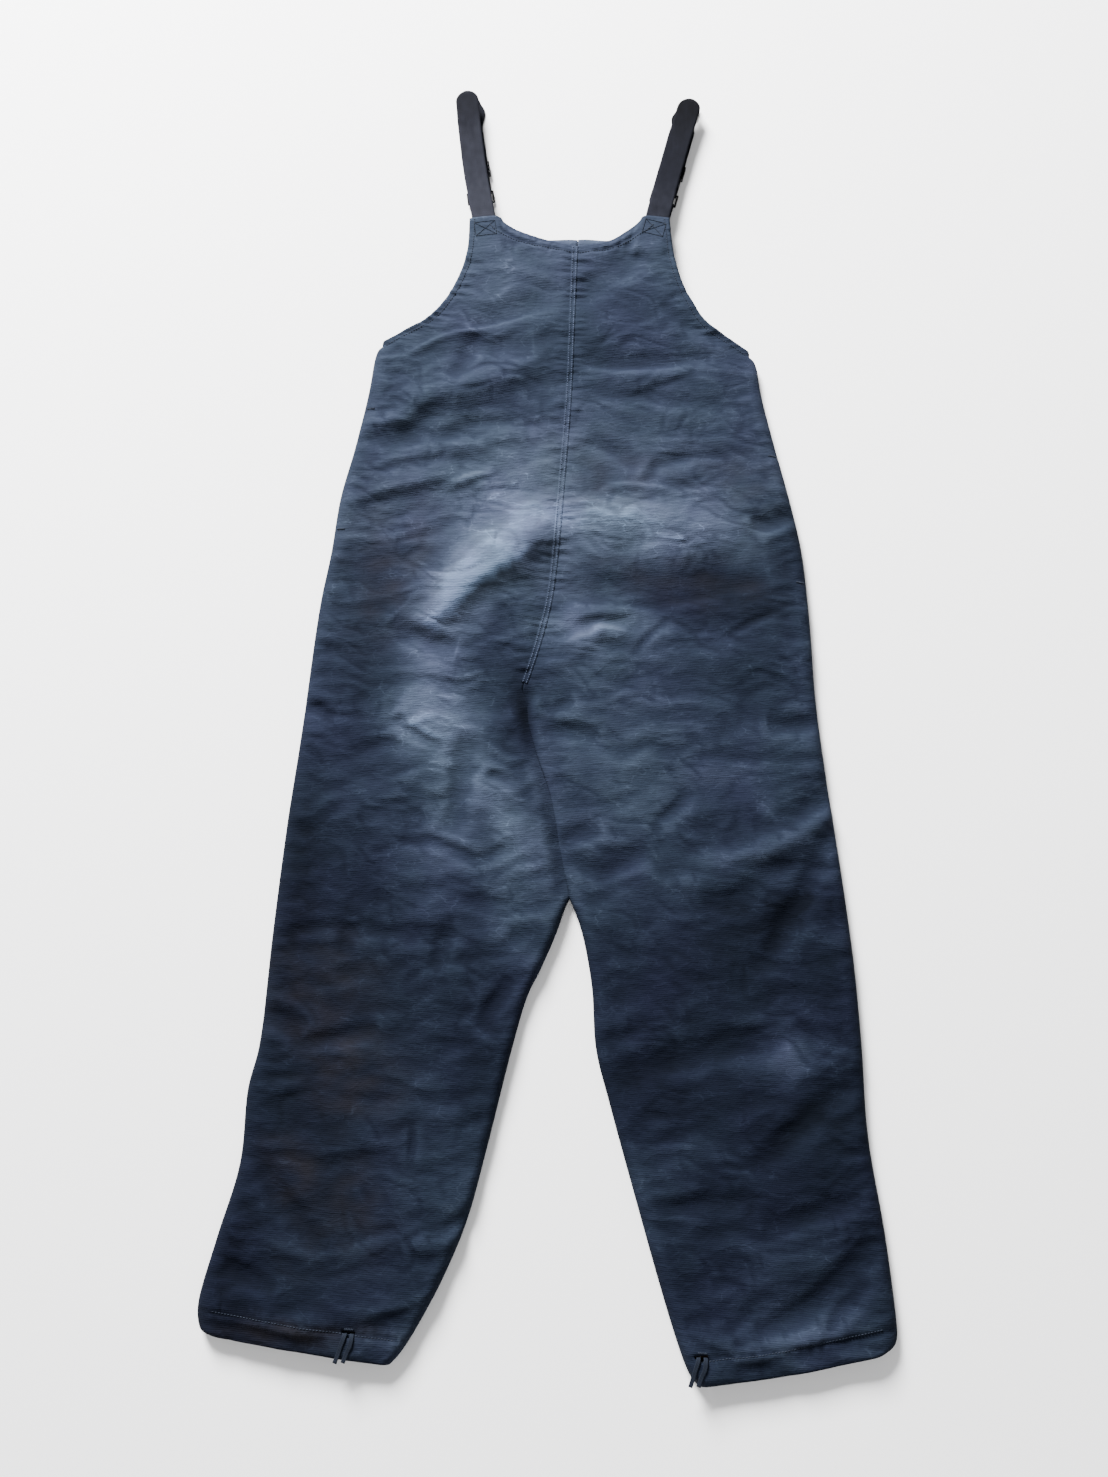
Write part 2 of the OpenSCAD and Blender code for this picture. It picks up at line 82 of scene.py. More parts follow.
# ---- Camera ----
CAMERA_AT = (36.9, 0, 1350)
CAMERA_TILT, CAMERA_TURN = math.radians(11), math.radians(4)
LENS, SENSOR = 27.03, 36
camera = bpy.data.objects.new("camera", bpy.data.cameras.new("camera"))
bpy.context.scene.collection.objects.link(camera)
camera.location = spot(*CAMERA_AT)
camera.rotation_euler = (CAMERA_TILT, 0, CAMERA_TURN)
camera.data.lens, camera.data.sensor_width = LENS, SENSOR
bpy.context.scene.camera = camera


# ---- Curves and noise ----
def curve(points, steps=8):
    """A Catmull-Rom curve through the points."""
    p = np.array(points, float)
    p = np.vstack([p[:1], p, p[-1:]])
    t = np.arange(steps)[:, None] / steps
    parts = [
        0.5 * (2 * b + (c - a) * t + (2 * a - 5 * b + 4 * c - d) * t**2 + (3 * b - a - 3 * c + d) * t**3)
        for a, b, c, d in zip(p, p[1:], p[2:], p[3:])
    ]
    return np.vstack(parts + [p[-1:]])


def unit(vectors):
    return vectors / np.maximum(np.linalg.norm(vectors, axis=-1), 1e-9)[..., None]


def distances(line):
    return np.concatenate([[0], np.cumsum(np.linalg.norm(np.diff(line, axis=0), axis=1))])


def evenly(line, count):
    """count points at even distances along a line."""
    at = distances(line)
    want = np.linspace(0, at[-1], count)
    return np.stack([np.interp(want, at, column) for column in line.T], 1)


def between(line, low, high):
    """The stretch of a rising line between two heights."""
    y = line[:, 1]
    ends = [np.array([[np.interp(v, y, line[:, 0]), v]]) for v in (low, high)]
    return np.vstack([ends[0], line[(y > low) & (y < high)], ends[1]])


def noise(x, y, seed=0):
    """Smooth gradient noise, about -1 to 1, over cells of size 1."""
    x, y = np.broadcast_arrays(np.asarray(x, float), np.asarray(y, float))
    xi, yi = np.floor(x).astype(np.int64), np.floor(y).astype(np.int64)
    xf, yf = x - xi, y - yi

    def slope(dx, dy):
        h = (xi + dx) * 374761393 + (yi + dy) * 668265263 + seed * 97463477
        h = ((h ^ (h >> 13)) * 1274126177) & 0xFFFFFFFF
        angle = ((h ^ (h >> 16)) & 1023) * (2 * math.pi / 1024)
        return np.cos(angle) * (xf - dx) + np.sin(angle) * (yf - dy)

    u, v = (f**3 * (f * (f * 6 - 15) + 10) for f in (xf, yf))
    low = slope(0, 0) * (1 - u) + slope(1, 0) * u
    high = slope(0, 1) * (1 - u) + slope(1, 1) * u
    return 1.5 * (low * (1 - v) + high * v)


def smoothstep(a, b, x):
    t = np.clip((np.asarray(x, float) - a) / (b - a), 0, 1)
    return t * t * (3 - 2 * t)


def bell(away, spread):
    """1 at no distance, falling off smoothly over the spread."""
    return np.exp(-((away / spread) ** 2))


def blobs(x, y, table):
    """The sum of soft ellipses: (x, y, half width, half height, turn in degrees, amount)."""
    total = np.zeros_like(x)
    for cx, cy, a, b, turn, amount in table:
        c, s = math.cos(math.radians(turn)), math.sin(math.radians(turn))
        u, v = (x - cx) * c + (y - cy) * s, (y - cy) * c - (x - cx) * s
        total += amount * np.exp(-((u / a) ** 2) - (v / b) ** 2)
    return total


# ---- Outline of the lay ----
SEAM = curve([(-25, 317), (-12, 368), (0, 435), (4, 502), (5, 570), (6, 709), (3, 823), (0, 931)])
FORK = curve([(50, 68), (36, 122), (20, 186), (-2, 240), (-16, 282), (-25, 317)])
NECK = {
    LEFT: curve([(0, 931), (-42, 938), (-74, 947), (-96, 958), (-106, 966), (-144, 960)]),
    RIGHT: curve([(0, 931), (44, 942), (70, 960), (84, 973), (91, 980), (124, 979)]),
}
ARM = {
    LEFT: curve([(-243, 777), (-218, 792), (-190, 811), (-166, 841), (-150, 880), (-143, 915), (-144, 960)]),
    RIGHT: curve([(238, 796), (205, 815), (178, 834), (158, 863), (143, 894), (132, 930), (124, 979)]),
}
SIDE = {
    LEFT: curve([
        (-318, -442), (-330, -434), (-334, -405), (-322, -340), (-306, -260), (-307, -180), (-299, -120),
        (-299, 0), (-297, 130), (-292, 250), (-288, 400), (-281, 480), (-277, 555), (-266, 622),
        (-256, 700), (-252, 755), (-243, 777),
    ]),
    RIGHT: curve([
        (436, -408), (447, -396), (446, -368), (432, -280), (412, -180), (403, -80), (392, 15),
        (374, 125), (354, 235), (339, 330), (329, 430), (316, 524), (298, 595), (274, 676),
        (257, 738), (250, 775), (238, 796),
    ]),
}
HEM = {
    LEFT: curve([(-113, -458), (-210, -451), (-318, -442)]),
    RIGHT: curve([(228, -456), (335, -435), (436, -408)]),
}
LEG = {
    LEFT: curve([
        (-113, -458), (-101, -443), (-85, -414), (-62, -364), (-40, -300), (-23, -215), (-6, -120),
        (8, -55), (22, -20), (38, 24), (50, 68),
    ]),
    RIGHT: curve([
        (228, -456), (213, -436), (186, -370), (148, -265), (112, -163), (93, -104), (84, -35),
        (68, 28), (50, 68),
    ]),
}
CORNER = {LEFT: (-125, 963), RIGHT: (107.5, 979.5)}      # where each strap leaves the bib
LEAN = {LEFT: math.radians(11.7), RIGHT: math.radians(-11.4)}
EYELET = {LEFT: (-161, -427), RIGHT: (230, -424)}
SLIT = {LEFT: (520, 670), RIGHT: (490, 640)}             # lower and upper end of each side slit
NAME = {LEFT: "left", RIGHT: "right"}


def strap_space(half, points):
    """Garment points of points in a strap's own frame: across, along, up."""
    c, s = math.cos(LEAN[half]), math.sin(LEAN[half])
    x, y, z = np.asarray(points, float).T
    cx, cy = CORNER[half]
    return np.stack([cx + x * c - y * s, cy + x * s + y * c, z], 1)


# ---- Folds ----
# Each fold: height before FOLD_SCALE, how far it spreads above and below its line, then its points
# from left to right.
FOLDS = [
    # bib, left of the seam
    (-5, 16, 12, (-130, 800), (-75, 830), (-10, 865)),
    (1.5, 3, 6, (-234, 728), (-210, 756), (-160, 788), (-116, 800), (-12, 838)),
    (1.2, 2.5, 4, (-256, 748), (-216, 754)),
    (-4.5, 12, 10, (-150, 715), (-135, 750), (-120, 775), (-90, 775), (-45, 780)),
    (6, 26, 16, (-230, 665), (-175, 695), (-110, 720), (-20, 755)),
    (-2, 12, 12, (-270, 665), (-230, 685), (-195, 685)),
    (-2.5, 14, 14, (-230, 620), (-195, 645), (-160, 685), (-140, 690)),
    (2.5, 12, 8, (-278, 644), (-210, 664), (-184, 674)),
    (-2.5, 10, 10, (-168, 636), (-118, 662), (-54, 676)),
    (3, 14, 10, (-278, 584), (-204, 614), (-128, 632), (-28, 660)),
    # bib, right of the seam
    (-6, 18, 12, (5, 850), (35, 875), (75, 915), (95, 950)),
    (-5, 13, 6, (8, 764), (70, 764), (128, 770), (190, 782)),
    (2, 5, 16, (18, 752), (84, 752), (162, 764)),
    (-2.5, 9, 8, (118, 856), (158, 822), (222, 798)),
    (-2.5, 10, 10, (14, 706), (72, 716), (150, 716), (248, 714)),
    (-3.5, 12, 8, (30, 650), (70, 640), (105, 615)),
    (-2.5, 9, 9, (104, 614), (168, 640), (256, 652)),
    (1.5, 4, 7, (54, 586), (76, 594), (118, 596), (164, 586)),
    (-5, 8, 6, (248, 560), (278, 554), (316, 572)),
    (2.5, 8, 8, (260, 528), (286, 546), (316, 556)),
    # seat, right of the seam
    (-6, 34, 8, (10, 440), (90, 440), (145, 445), (190, 460), (275, 485)),
    (5, 16, 5, (12, 402), (40, 418), (90, 428), (140, 438)),
    (3, 6, 12, (-4, 376), (50, 388), (72, 400), (122, 394)),
    (-1.5, 4, 4, (106, 368), (128, 396), (156, 426)),
    (-3, 9, 7, (-4, 298), (18, 296), (42, 308)),
    (-4, 9, 7, (0, 265), (35, 270), (75, 265)),
    (-5, 8, 6, (276, 294), (306, 296), (352, 302)),
    (-1.5, 4, 5, (216, 396), (252, 422), (302, 446)),
    # hip and seat, left of the seam
    (4, 20, 9, (-285, 540), (-215, 570), (-125, 595)),
    (2, 6, 6, (-148, 570), (-112, 590), (-80, 602)),
    (9, 34, 12, (-165, 365), (-145, 395), (-110, 440), (-65, 480), (14, 530)),
    (-5, 12, 9, (-195, 395), (-150, 370), (-110, 360)),
    (-4, 8, 7, (-320, 280), (-280, 275), (-250, 265)),
    (1.2, 3, 3, (-276, 278), (-252, 276), (-224, 278)),
    (-2.5, 4, 8, (-176, 278), (-166, 262), (-138, 246), (-114, 240)),
    (1.5, 4, 5, (-74, 202), (-56, 216), (-26, 212)),
    (-2.5, 6, 9, (-162, 118), (-116, 122), (-78, 110), (-54, 108), (-6, 136)),
    # valleys that run down the garment
    (-6, 20, 20, (-10, 510), (0, 435), (10, 355)),
    (-5, 12, 12, (-90, 265), (-90, 200), (-95, 130)),
    (-3, 9, 9, (-202, 18), (-210, 0), (-206, -22)),
    (-3, 10, 10, (-84, 24), (-98, -4), (-102, -32)),
    (-4, 8, 8, (-10, -30), (-30, -65), (-40, -95)),
    (-1.5, 4, 4, (-112, -198), (-110, -224), (-110, -252)),
    # left leg
    (-2.5, 8, 8, (-282, 6), (-206, 14), (-122, 8)),
    (-5, 9, 9, (-305, -90), (-270, -100), (-245, -110)),
    (-3.5, 8, 10, (-265, -120), (-215, -115), (-160, -95)),
    (-5, 12, 10, (-305, -225), (-270, -270), (-245, -300), (-200, -345)),
    (-3, 7, 9, (-86, -328), (-58, -312), (-28, -286)),
    (2.5, 9, 9, (-112, -336), (-68, -326), (-36, -312)),
    (-3.5, 9, 9, (-335, -370), (-295, -370), (-245, -390)),
    (5, 32, 3, (-342, -410), (-276, -420), (-220, -426), (-188, -424), (-154, -410), (-104, -390),
     (-58, -370)),
    # right leg
    (-4, 10, 8, (20, 120), (50, 140), (85, 150)),
    (-4, 12, 9, (30, 125), (85, 100), (145, 130)),
    (-5, 12, 10, (295, 170), (345, 200), (395, 240)),
    (-2.5, 6, 6, (140, 156), (166, 178), (190, 208)),
    (5, 22, 16, (180, 90), (285, 140), (400, 220)),
    (-4, 12, 12, (275, -10), (325, 85), (370, 185)),
    (-4, 16, 14, (105, -155), (190, -110), (315, -85)),
    (-4, 12, 12, (275, -230), (340, -165), (410, -110)),
    (-3, 9, 9, (170, -276), (256, -260), (284, -266)),
    (-4, 10, 9, (290, -285), (330, -275), (405, -245)),
    (-1.5, 7, 7, (236, -350), (258, -346), (280, -348)),
    (-5, 10, 14, (285, -405), (345, -365), (385, -330), (435, -275)),
    (-3, 8, 8, (362, -394), (386, -362), (416, -330)),
    (3.5, 24, 3, (192, -398), (238, -404), (256, -414), (274, -420), (294, -418), (334, -404), (396, -386),
     (452, -374)),
]
# Broad swells: (x, y, half width, half height, turn in degrees, height).
SWELLS = [
    (120, 545, 110, 42, 0, 4), (-70, 505, 80, 40, 38, 2), (245, 385, 45, 50, 30, 2.5),
    (-62, 300, 50, 28, 0, -4), (-134, 275, 36, 26, -30, 2.5), (-150, 60, 90, 200, 0, 1.5),
    (260, 20, 80, 120, 0, 1.5), (-180, -330, 90, 60, 0, 2), (330, -330, 70, 50, 30, 1.5),
    (-230, 440, 50, 40, 0, -2.5), (-185, 800, 40, 60, -40, -1),
]
BASE, LOWEST, HIGHEST = 19, 13, 34
FOLD_SCALE = 1.6


def folds(x, y):
    """Height that the folds add. Each dies out at both ends of its line."""
    total = np.zeros_like(x)
    for height, above, below, *points in FOLDS:
        height *= FOLD_SCALE
        above, below = (math.hypot(spread, 1.15 * height) for spread in (above, below))
        line = curve(points, 5)
        reach = 3 * max(above, below)
        (x0, y0), (x1, y1) = line.min(0) - reach, line.max(0) + reach
        near = (x > x0) & (x < x1) & (y > y0) & (y < y1)
        if not near.any():
            continue
        start, step = line[:-1], np.diff(line, axis=0)
        long = np.linalg.norm(step, axis=1)
        rx, ry = x[near][:, None] - start[:, 0], y[near][:, None] - start[:, 1]
        t = np.clip((rx * step[:, 0] + ry * step[:, 1]) / long**2, 0, 1)
        gap = np.hypot(rx - t * step[:, 0], ry - t * step[:, 1])
        best = gap.argmin(1)
        row = np.arange(len(best))
        left = (step[:, 0] * ry - step[:, 1] * rx)[row, best] > 0
        along = (distances(line)[:-1][best] + t[row, best] * long[best]) / long.sum()
        taper = np.sin(math.pi * np.clip(along, 0, 1)) ** 0.75
        total[near] += height * taper * bell(gap[row, best], np.where(left, above, below))
    return total


# Crease lines: depth, size across and along the garment, lean, seed.
CREASES = (
    (0.8, 110, 38, 0.15, 61), (0.7, 90, 30, -0.2, 62), (0.6, 60, 44, 0.6, 63), (0.6, 60, 40, -0.7, 64),
    (0.4, 50, 20, 0.1, 65),
)


def wrinkles(x, y):
    """Small pressed-in wrinkles of worn, lined cloth: mostly across the garment."""
    wx = x + 14 * noise(x / 70, y / 45, 1)
    wy = y + 12 * noise(x / 60, y / 50, 2)
    strong = smoothstep(-0.4, 0.8, noise(x / 130, y / 110, 3))
    tx, ty = wx + 0.45 * wy, wy - 0.45 * wx
    broad = 1.9 * noise(wx / 125, wy / 44, 4) + 1.1 * noise(wx / 62, wy / 24, 9)
    broad = broad + 0.9 * noise(tx / 70, ty / 22, 10)
    ridged = 0.32 - np.abs(noise(wx / 70, wy / 19, 5))
    fine = 0.28 * noise(wx / 30, wy / 9, 7) + 0.2 * noise(tx / 26, ty / 8, 8)
    lines = sum(
        -depth * bell(noise((wx + lean * wy) / across, (wy - lean * wx) / along, seed), 0.11)
        * smoothstep(0.0, 0.45, noise(x / 70, y / 60, seed + 10))
        for depth, across, along, lean, seed in CREASES
    )
    worn = 0.55 + 0.45 * smoothstep(60, 330, y)          # the legs lie smoother than the seat and bib
    return broad + worn * ((0.3 + strong) * ridged + (0.4 + 0.6 * strong) * fine) + lines


def height(x, y):
    """Height of the back cloth's top over the floor."""
    raw = BASE + 1.2 * blobs(x, y, SWELLS) + folds(x, y) + wrinkles(x, y)
    at_corner = sum(np.exp(-(((x - cx) ** 2 + (y - cy + 20) ** 2) / 45**2)) for cx, cy in CORNER.values())
    at_eyelet = sum(np.exp(-(((x - cx) / 34) ** 2 + ((y - cy + 8) / 24) ** 2)) for cx, cy in EYELET.values())
    raw = raw + (LAY - raw) * 0.8 * at_corner + (LAY + 0.7 - raw) * np.minimum(at_eyelet * 1.4, 1)
    return LOWEST + (HIGHEST - LOWEST) * smoothstep(LOWEST - 4, HIGHEST + 4, raw)


# ---- Materials ----
def material(name, rough, sheen=0.0, metal=0.0):
    """A new node material. Returns it with its shader and a helper that adds nodes."""
    mat = bpy.data.materials.new(name)
    mat.use_nodes = True
    tree = mat.node_tree
    shader = tree.nodes["Principled BSDF"]
    shader.inputs["Roughness"].default_value = rough
    shader.inputs["Metallic"].default_value = metal
    shader.inputs["Sheen Weight"].default_value = sheen
    shader.inputs["Sheen Roughness"].default_value = 0.6
    shader.inputs["Specular IOR Level"].default_value = 0.5 if metal else 0.04

    def add(kind, values=(), links=(), **settings):
        n = tree.nodes.new("ShaderNode" + kind)
        for key, value in settings.items():
            setattr(n, key, value)
        for key, value in dict(values).items():
            n.inputs[key].default_value = value
        for key, socket in dict(links).items():
            tree.links.new(socket, n.inputs[key])
        return n

    return mat, shader, add


def bump(add, height, strength, distance, **below):
    """The normal of a bump. below may give the Normal of another bump that it lies on."""
    values = {"Strength": strength, "Distance": distance}
    return add("Bump", values, {"Height": height, **below}).outputs["Normal"]


def finish(add, shader, colour, *bump_values, **below):
    """Joins a base colour and a bump to the shader."""
    links = shader.id_data.links
    links.new(colour, shader.inputs["Base Color"])
    links.new(bump(add, *bump_values, **below), shader.inputs["Normal"])


def plan(add):
    """The layout coordinate, in metres."""
    return add("UVMap", uv_map="plan").outputs["UV"]


def painted(add, name):
    """A value painted on the mesh."""
    return add("Attribute", attribute_name=name).outputs["Fac"]


def times(add, a, b):
    return maths(add, "MULTIPLY", a, b)


def plus(add, first, *rest):
    for value in rest:
        first = maths(add, "ADD", first, value)
    return first


SCREEN = (0, 3, 7, 15, 27, 44, 67, 99, 137, 171, 197, 218, 233)
SCENE = (0.0005, 0.002, 0.004, 0.008, 0.016, 0.032, 0.064, 0.128, 0.256, 0.512, 1.02, 2.05, 4.1)
FLAT_LIGHT = 4.1                                # light that a white surface lying flat sends up


def seen(colour):
    """Base colour of a flat surface that should look like these 0-255 screen values in this light."""
    return tuple(float(np.exp(np.interp(v, SCREEN, np.log(SCENE)))) / FLAT_LIGHT for v in colour) + (1.0,)


def ramp(add, fac, stops):
    node = add("ValToRGB", links={"Fac": fac})
    elements = node.color_ramp.elements
    while len(elements) < len(stops):
        elements.new(0.5)
    for element, (at, colour) in zip(elements, stops):
        element.position = at
        element.color = seen(colour)
    return node.outputs["Color"]


def noise_node(add, vector, x, y, detail, rough):
    """Noise with its own scale each way, in cells a metre."""
    spread = add("Mapping", {"Scale": (x, y, 1)}, {"Vector": vector}).outputs["Vector"]
    values = {"Scale": 1.0, "Detail": detail, "Roughness": rough}
    return add("TexNoise", values, {"Vector": spread}).outputs["Fac"]


def maths(add, kind, a, b):
    node = add("Math", operation=kind)
    for socket, value in zip(node.inputs, (a, b)):
        if isinstance(value, (int, float)):
            socket.default_value = value
        else:
            node.id_data.links.new(value, socket)
    return node.outputs[0]


def creases(add, vector, x, y, width):
    """Thin crooked lines, 1 on a line and 0 off it."""
    wander = noise_node(add, vector, x, y, 3, 0.55)
    away = maths(add, "ABSOLUTE", maths(add, "SUBTRACT", wander, 0.5), 0)
    values = {"From Max": width, "To Min": 1.0, "To Max": 0.0}
    return add("MapRange", values, {"Value": away}).outputs["Result"]


def wave(add, vector, scale, distortion, direction, **values):
    """Bands of waves across one direction."""
    values = {"Scale": scale, "Distortion": distortion, **values}
    return add("TexWave", values, {"Vector": vector}, bands_direction=direction).outputs["Fac"]


def mixed(add, colour, other, factor, **settings):
    """A colour socket mixed with a plain colour."""
    links = {"A": colour, "Factor": factor}
    return add("Mix", {"B": other}, links, data_type="RGBA", **settings).outputs["Result"]


CLOTH_STOPS = [
    (0.0, (12, 18, 31)), (0.25, (27, 36, 55)), (0.45, (45, 57, 78)), (0.65, (71, 86, 107)),
    (0.85, (104, 120, 141)), (1.0, (140, 157, 176)),
]
WARM_TINT = (0.60, 0.42, 0.62, 1)


def cloth_material(name, lift=0.0):
    """Worn ribbed cotton: the fade with its painted shade and light, and the stain, are painted on the mesh,
    the streaks and ribs are here.
    """
    mat, shader, add = material(name, 0.9)
    uv = plan(add)
    streaks = noise_node(add, uv, 18, 420, 3, 0.65)
    mottle = noise_node(add, uv, 26, 34, 5, 0.62)
    specks = noise_node(add, uv, 160, 420, 2, 0.5)
    lines = creases(add, uv, 19, 34, 0.016)
    rubbed = times(add, lines, maths(add, "SUBTRACT", mottle, 0.38))
    # the painted fade value darkens fold valleys and the crotch edge as painted shade and lightens raised
    # folds as painted light, on top of the dye's fade
    total = plus(add, painted(add, "fade_and_shade"), lift - 0.245, times(add, streaks, 0.15), times(add, mottle, 0.26),
                 times(add, specks, 0.08), times(add, painted(add, "crest"), 0.12), times(add, rubbed, 0.5))
    hue = noise_node(add, uv, 9, 7, 3, 0.55)
    warmth = times(add, maths(add, "SUBTRACT", hue, 0.40), 1.2)
    warm = mixed(add, ramp(add, total, CLOTH_STOPS), WARM_TINT, warmth, blend_type="SOFT_LIGHT")
    brown = mixed(add, warm, seen((62, 54, 48)), painted(add, "stain"))
    ribs = wave(add, uv, 145.0, 0.9, "Y", Detail=2.0, **{"Detail Scale": 30.0})
    fuzz = noise_node(add, uv, 700, 1500, 2, 0.6)
    weave = plus(add, times(add, ribs, 0.5), times(add, fuzz, 0.6))
    crumple = noise_node(add, uv, 70, 150, 4, 0.62)
    pressed = plus(add, crumple, times(add, creases(add, uv, 14, 40, 0.04), -0.16))
    finish(add, shader, brown, pressed, 0.6, 0.0016, Normal=bump(add, weave, 0.55, 0.0004))
    return mat


def pile_material():
    """Brown wool pile lining: clumped tufts."""
    mat, shader, add = material("wool_pile", 0.95, sheen=0.02)
    uv = plan(add)
    tufts = add("TexVoronoi", {"Scale": 260.0, "Randomness": 1.0}, {"Vector": uv})
    soft = noise_node(add, uv, 60, 60, 4, 0.6)
    mix = plus(add, times(add, tufts.outputs["Distance"], 0.5), times(add, soft, 0.8))
    colour = ramp(add, mix, [(0.2, (44, 34, 27)), (0.6, (84, 68, 54)), (1.0, (128, 108, 86))])
    finish(add, shader, colour, mix, 0.9, 0.002)
    return mat


def webbing_material():
    """Elastic webbing: fine ribs across it and warp threads along it."""
    mat, shader, add = material("elastic_webbing", 0.8)
    uv = plan(add)
    ribs, warp = wave(add, uv, 210.0, 0.4, "Y", Detail=1.0), wave(add, uv, 290.0, 0.3, "X", Detail=1.0)
    worn = noise_node(add, uv, 90, 30, 4, 0.6)
    tone = plus(add, times(add, worn, 0.35), painted(add, "fade_and_shade"))
    colour = ramp(add, tone, [(0.0, (12, 13, 21)), (0.5, (30, 32, 44)), (1.0, (64, 66, 82))])
    finish(add, shader, colour, plus(add, ribs, times(add, warp, 0.6)), 0.7, 0.0004)
    return mat


def thread_material(name, dark, light):
    """Twisted sewing thread: slanting plies and a slight difference from stitch to stitch."""
    mat, shader, add = material(name, 0.6)
    at = add("TexCoord").outputs["Object"]
    tone = noise_node(add, at, 90, 90, 3, 0.6)
    plies = wave(add, at, 900.0, 0.5, "DIAGONAL")
    finish(add, shader, ramp(add, tone, [(0.25, dark), (0.75, light)]), plies, 0.5, 0.0001)
    return mat


def tape_material():
    """Dark cotton draw tape with a fine herringbone."""
    mat, shader, add = material("cotton_tape", 0.85)
    uv = plan(add)
    bone = wave(add, uv, 330.0, 0.2, "DIAGONAL")
    worn = noise_node(add, uv, 240, 120, 4, 0.6)
    tone = plus(add, times(add, bone, 0.25), times(add, worn, 0.7))
    finish(add, shader, ramp(add, tone, [(0.1, (18, 23, 33)), (0.9, (66, 76, 96))]), bone, 0.6, 0.0002)
    return mat


def metal_material(name, dark, light, rough):
    """Worn metal: brushed scratches, dull patches and a tarnish."""
    mat, shader, add = material(name, rough, metal=1.0)
    at = add("TexCoord").outputs["Object"]
    scratches = noise_node(add, at, 300, 4000, 4, 0.6)
    patches = noise_node(add, at, 220, 220, 5, 0.65)
    dull = add("MapRange", {"To Min": rough - 0.1, "To Max": rough + 0.25}, {"Value": patches})
    shader.id_data.links.new(dull.outputs["Result"], shader.inputs["Roughness"])
    finish(add, shader, ramp(add, patches, [(0.3, dark), (0.7, light)]), scratches, 0.3, 0.0001)
    return mat


SHELL = cloth_material("shell_cloth")
FACING = cloth_material("facing_cloth", 0.04)
PILE = pile_material()
WEBBING = webbing_material()
THREAD = thread_material("seam_thread", (78, 90, 114), (138, 148, 170))
DARK_THREAD = thread_material("edge_thread", (34, 40, 56), (92, 102, 122))
TAPE = tape_material()
BRASS = metal_material("zip_brass", (88, 66, 34), (164, 130, 74), 0.38)
STEEL = metal_material("strap_steel", (18, 19, 22), (40, 41, 46), 0.5)


# ---- Mesh helpers ----
def fixed(piece, *replaced):
    """The piece stays on the root body, in place of CAD nodes."""
    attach(piece, "root")
    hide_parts(*replaced)
    return piece


def grid_cells(rows, columns):
    """The four corners of each cell of a grid of points."""
    index = np.arange(rows * columns).reshape(rows, columns)
    return np.stack([index[:-1, :-1], index[:-1, 1:], index[1:, 1:], index[1:, :-1]], -1)


def ring_faces(n, m, closed=False, first=0):
    """Faces of a tube of n rings of m points, capped at both ends unless it closes on itself."""
    faces = [[first + i * m + k, first + i * m + (k + 1) % m,
              first + (i + 1) % n * m + (k + 1) % m, first + (i + 1) % n * m + k]
             for i in range(n if closed else n - 1) for k in range(m)]
    if not closed:
        faces += [[first + k for k in range(m)][::-1], [first + (n - 1) * m + k for k in range(m)]]
    return faces


def mesh_object(name, points, faces, mat, uv=None, layers=None):
    """A mesh of garment points, with a uv in metres for each point and named point values."""
    mesh = bpy.data.meshes.new(name)
    mesh.from_pydata(place(points).tolist(), [], faces)
    mesh.validate()
    mesh.shade_smooth()
    if uv is not None:
        corner = np.zeros(len(mesh.loops), int)
        mesh.loops.foreach_get("vertex_index", corner)
        mesh.uv_layers.new(name="plan").data.foreach_set("uv", (np.asarray(uv) * MM)[corner].ravel())
    for key, values in (layers or {}).items():
        mesh.attributes.new(key, "FLOAT", "POINT").data.foreach_set("value", np.asarray(values, np.float32))
    mesh.materials.append(mat)
    obj = bpy.data.objects.new(name, mesh)
    bpy.context.scene.collection.objects.link(obj)
    return obj


def closed_sheet(top, under, keep=slice(None)):
    """Points, faces and used point numbers of a sheet between two grids. keep says which cells exist."""
    rows, columns = top.shape[:2]
    count = rows * columns
    cells = grid_cells(rows, columns)[keep].reshape(-1, 4)
    if np.cross(top[0, 1] - top[0, 0], top[1, 0] - top[0, 0])[2] < 0:
        cells = cells[:, ::-1]
    edges = np.concatenate([cells[:, [i, (i + 1) % 4]] for i in range(4)]).tolist()
    known = {tuple(e) for e in edges}
    faces = cells.tolist() + (cells[:, ::-1] + count).tolist()
    faces += [[b, a, a + count, b + count] for a, b in edges if (b, a) not in known]
    used = np.unique(cells)
    both = np.concatenate([used, used + count])
    number = np.full(2 * count, -1)
    number[both] = np.arange(len(both))
    points = np.concatenate([top.reshape(-1, 3), under.reshape(-1, 3)])[both]
    return points, [[int(number[i]) for i in face] for face in faces], both


def thick_sheet(name, top, under, mat, uv, layers, keep=slice(None)):
    """A closed sheet with a uv and point values for each point of its grid."""
    points, faces, used = closed_sheet(top, under, keep)
    double = {key: np.tile(np.asarray(values).ravel(), 2)[used] for key, values in layers.items()}
    return mesh_object(name, points, faces, mat, np.tile(uv.reshape(-1, 2), (2, 1))[used], double)


def ribbon(path, across, width, thick, sides=10):
    """Rings of a flat strap with rounded edges that follows a path. Returns points, faces and uv."""
    path, across = np.asarray(path, float), np.asarray(across, float)
    width = np.broadcast_to(width, len(path))
    up = unit(np.cross(across, unit(np.gradient(path, axis=0))))
    profile = [(u, 0.5 if abs(u) < 0.99 else 0.3) for u in (-1 + 2 * i / sides for i in range(sides + 1))]
    profile += [(u, -v) for u, v in reversed(profile)]
    u, v = np.array(profile).T
    rings = path[:, None] + across[:, None] * (u[:, None] * width[:, None, None] / 2) \
        + up[:, None] * (v[:, None] * thick)
    uv = np.stack(np.broadcast_arrays(u[None] * width[:, None] / 2, distances(path)[:, None]), -1)
    return rings.reshape(-1, 3), ring_faces(*rings.shape[:2]), uv.reshape(-1, 2)


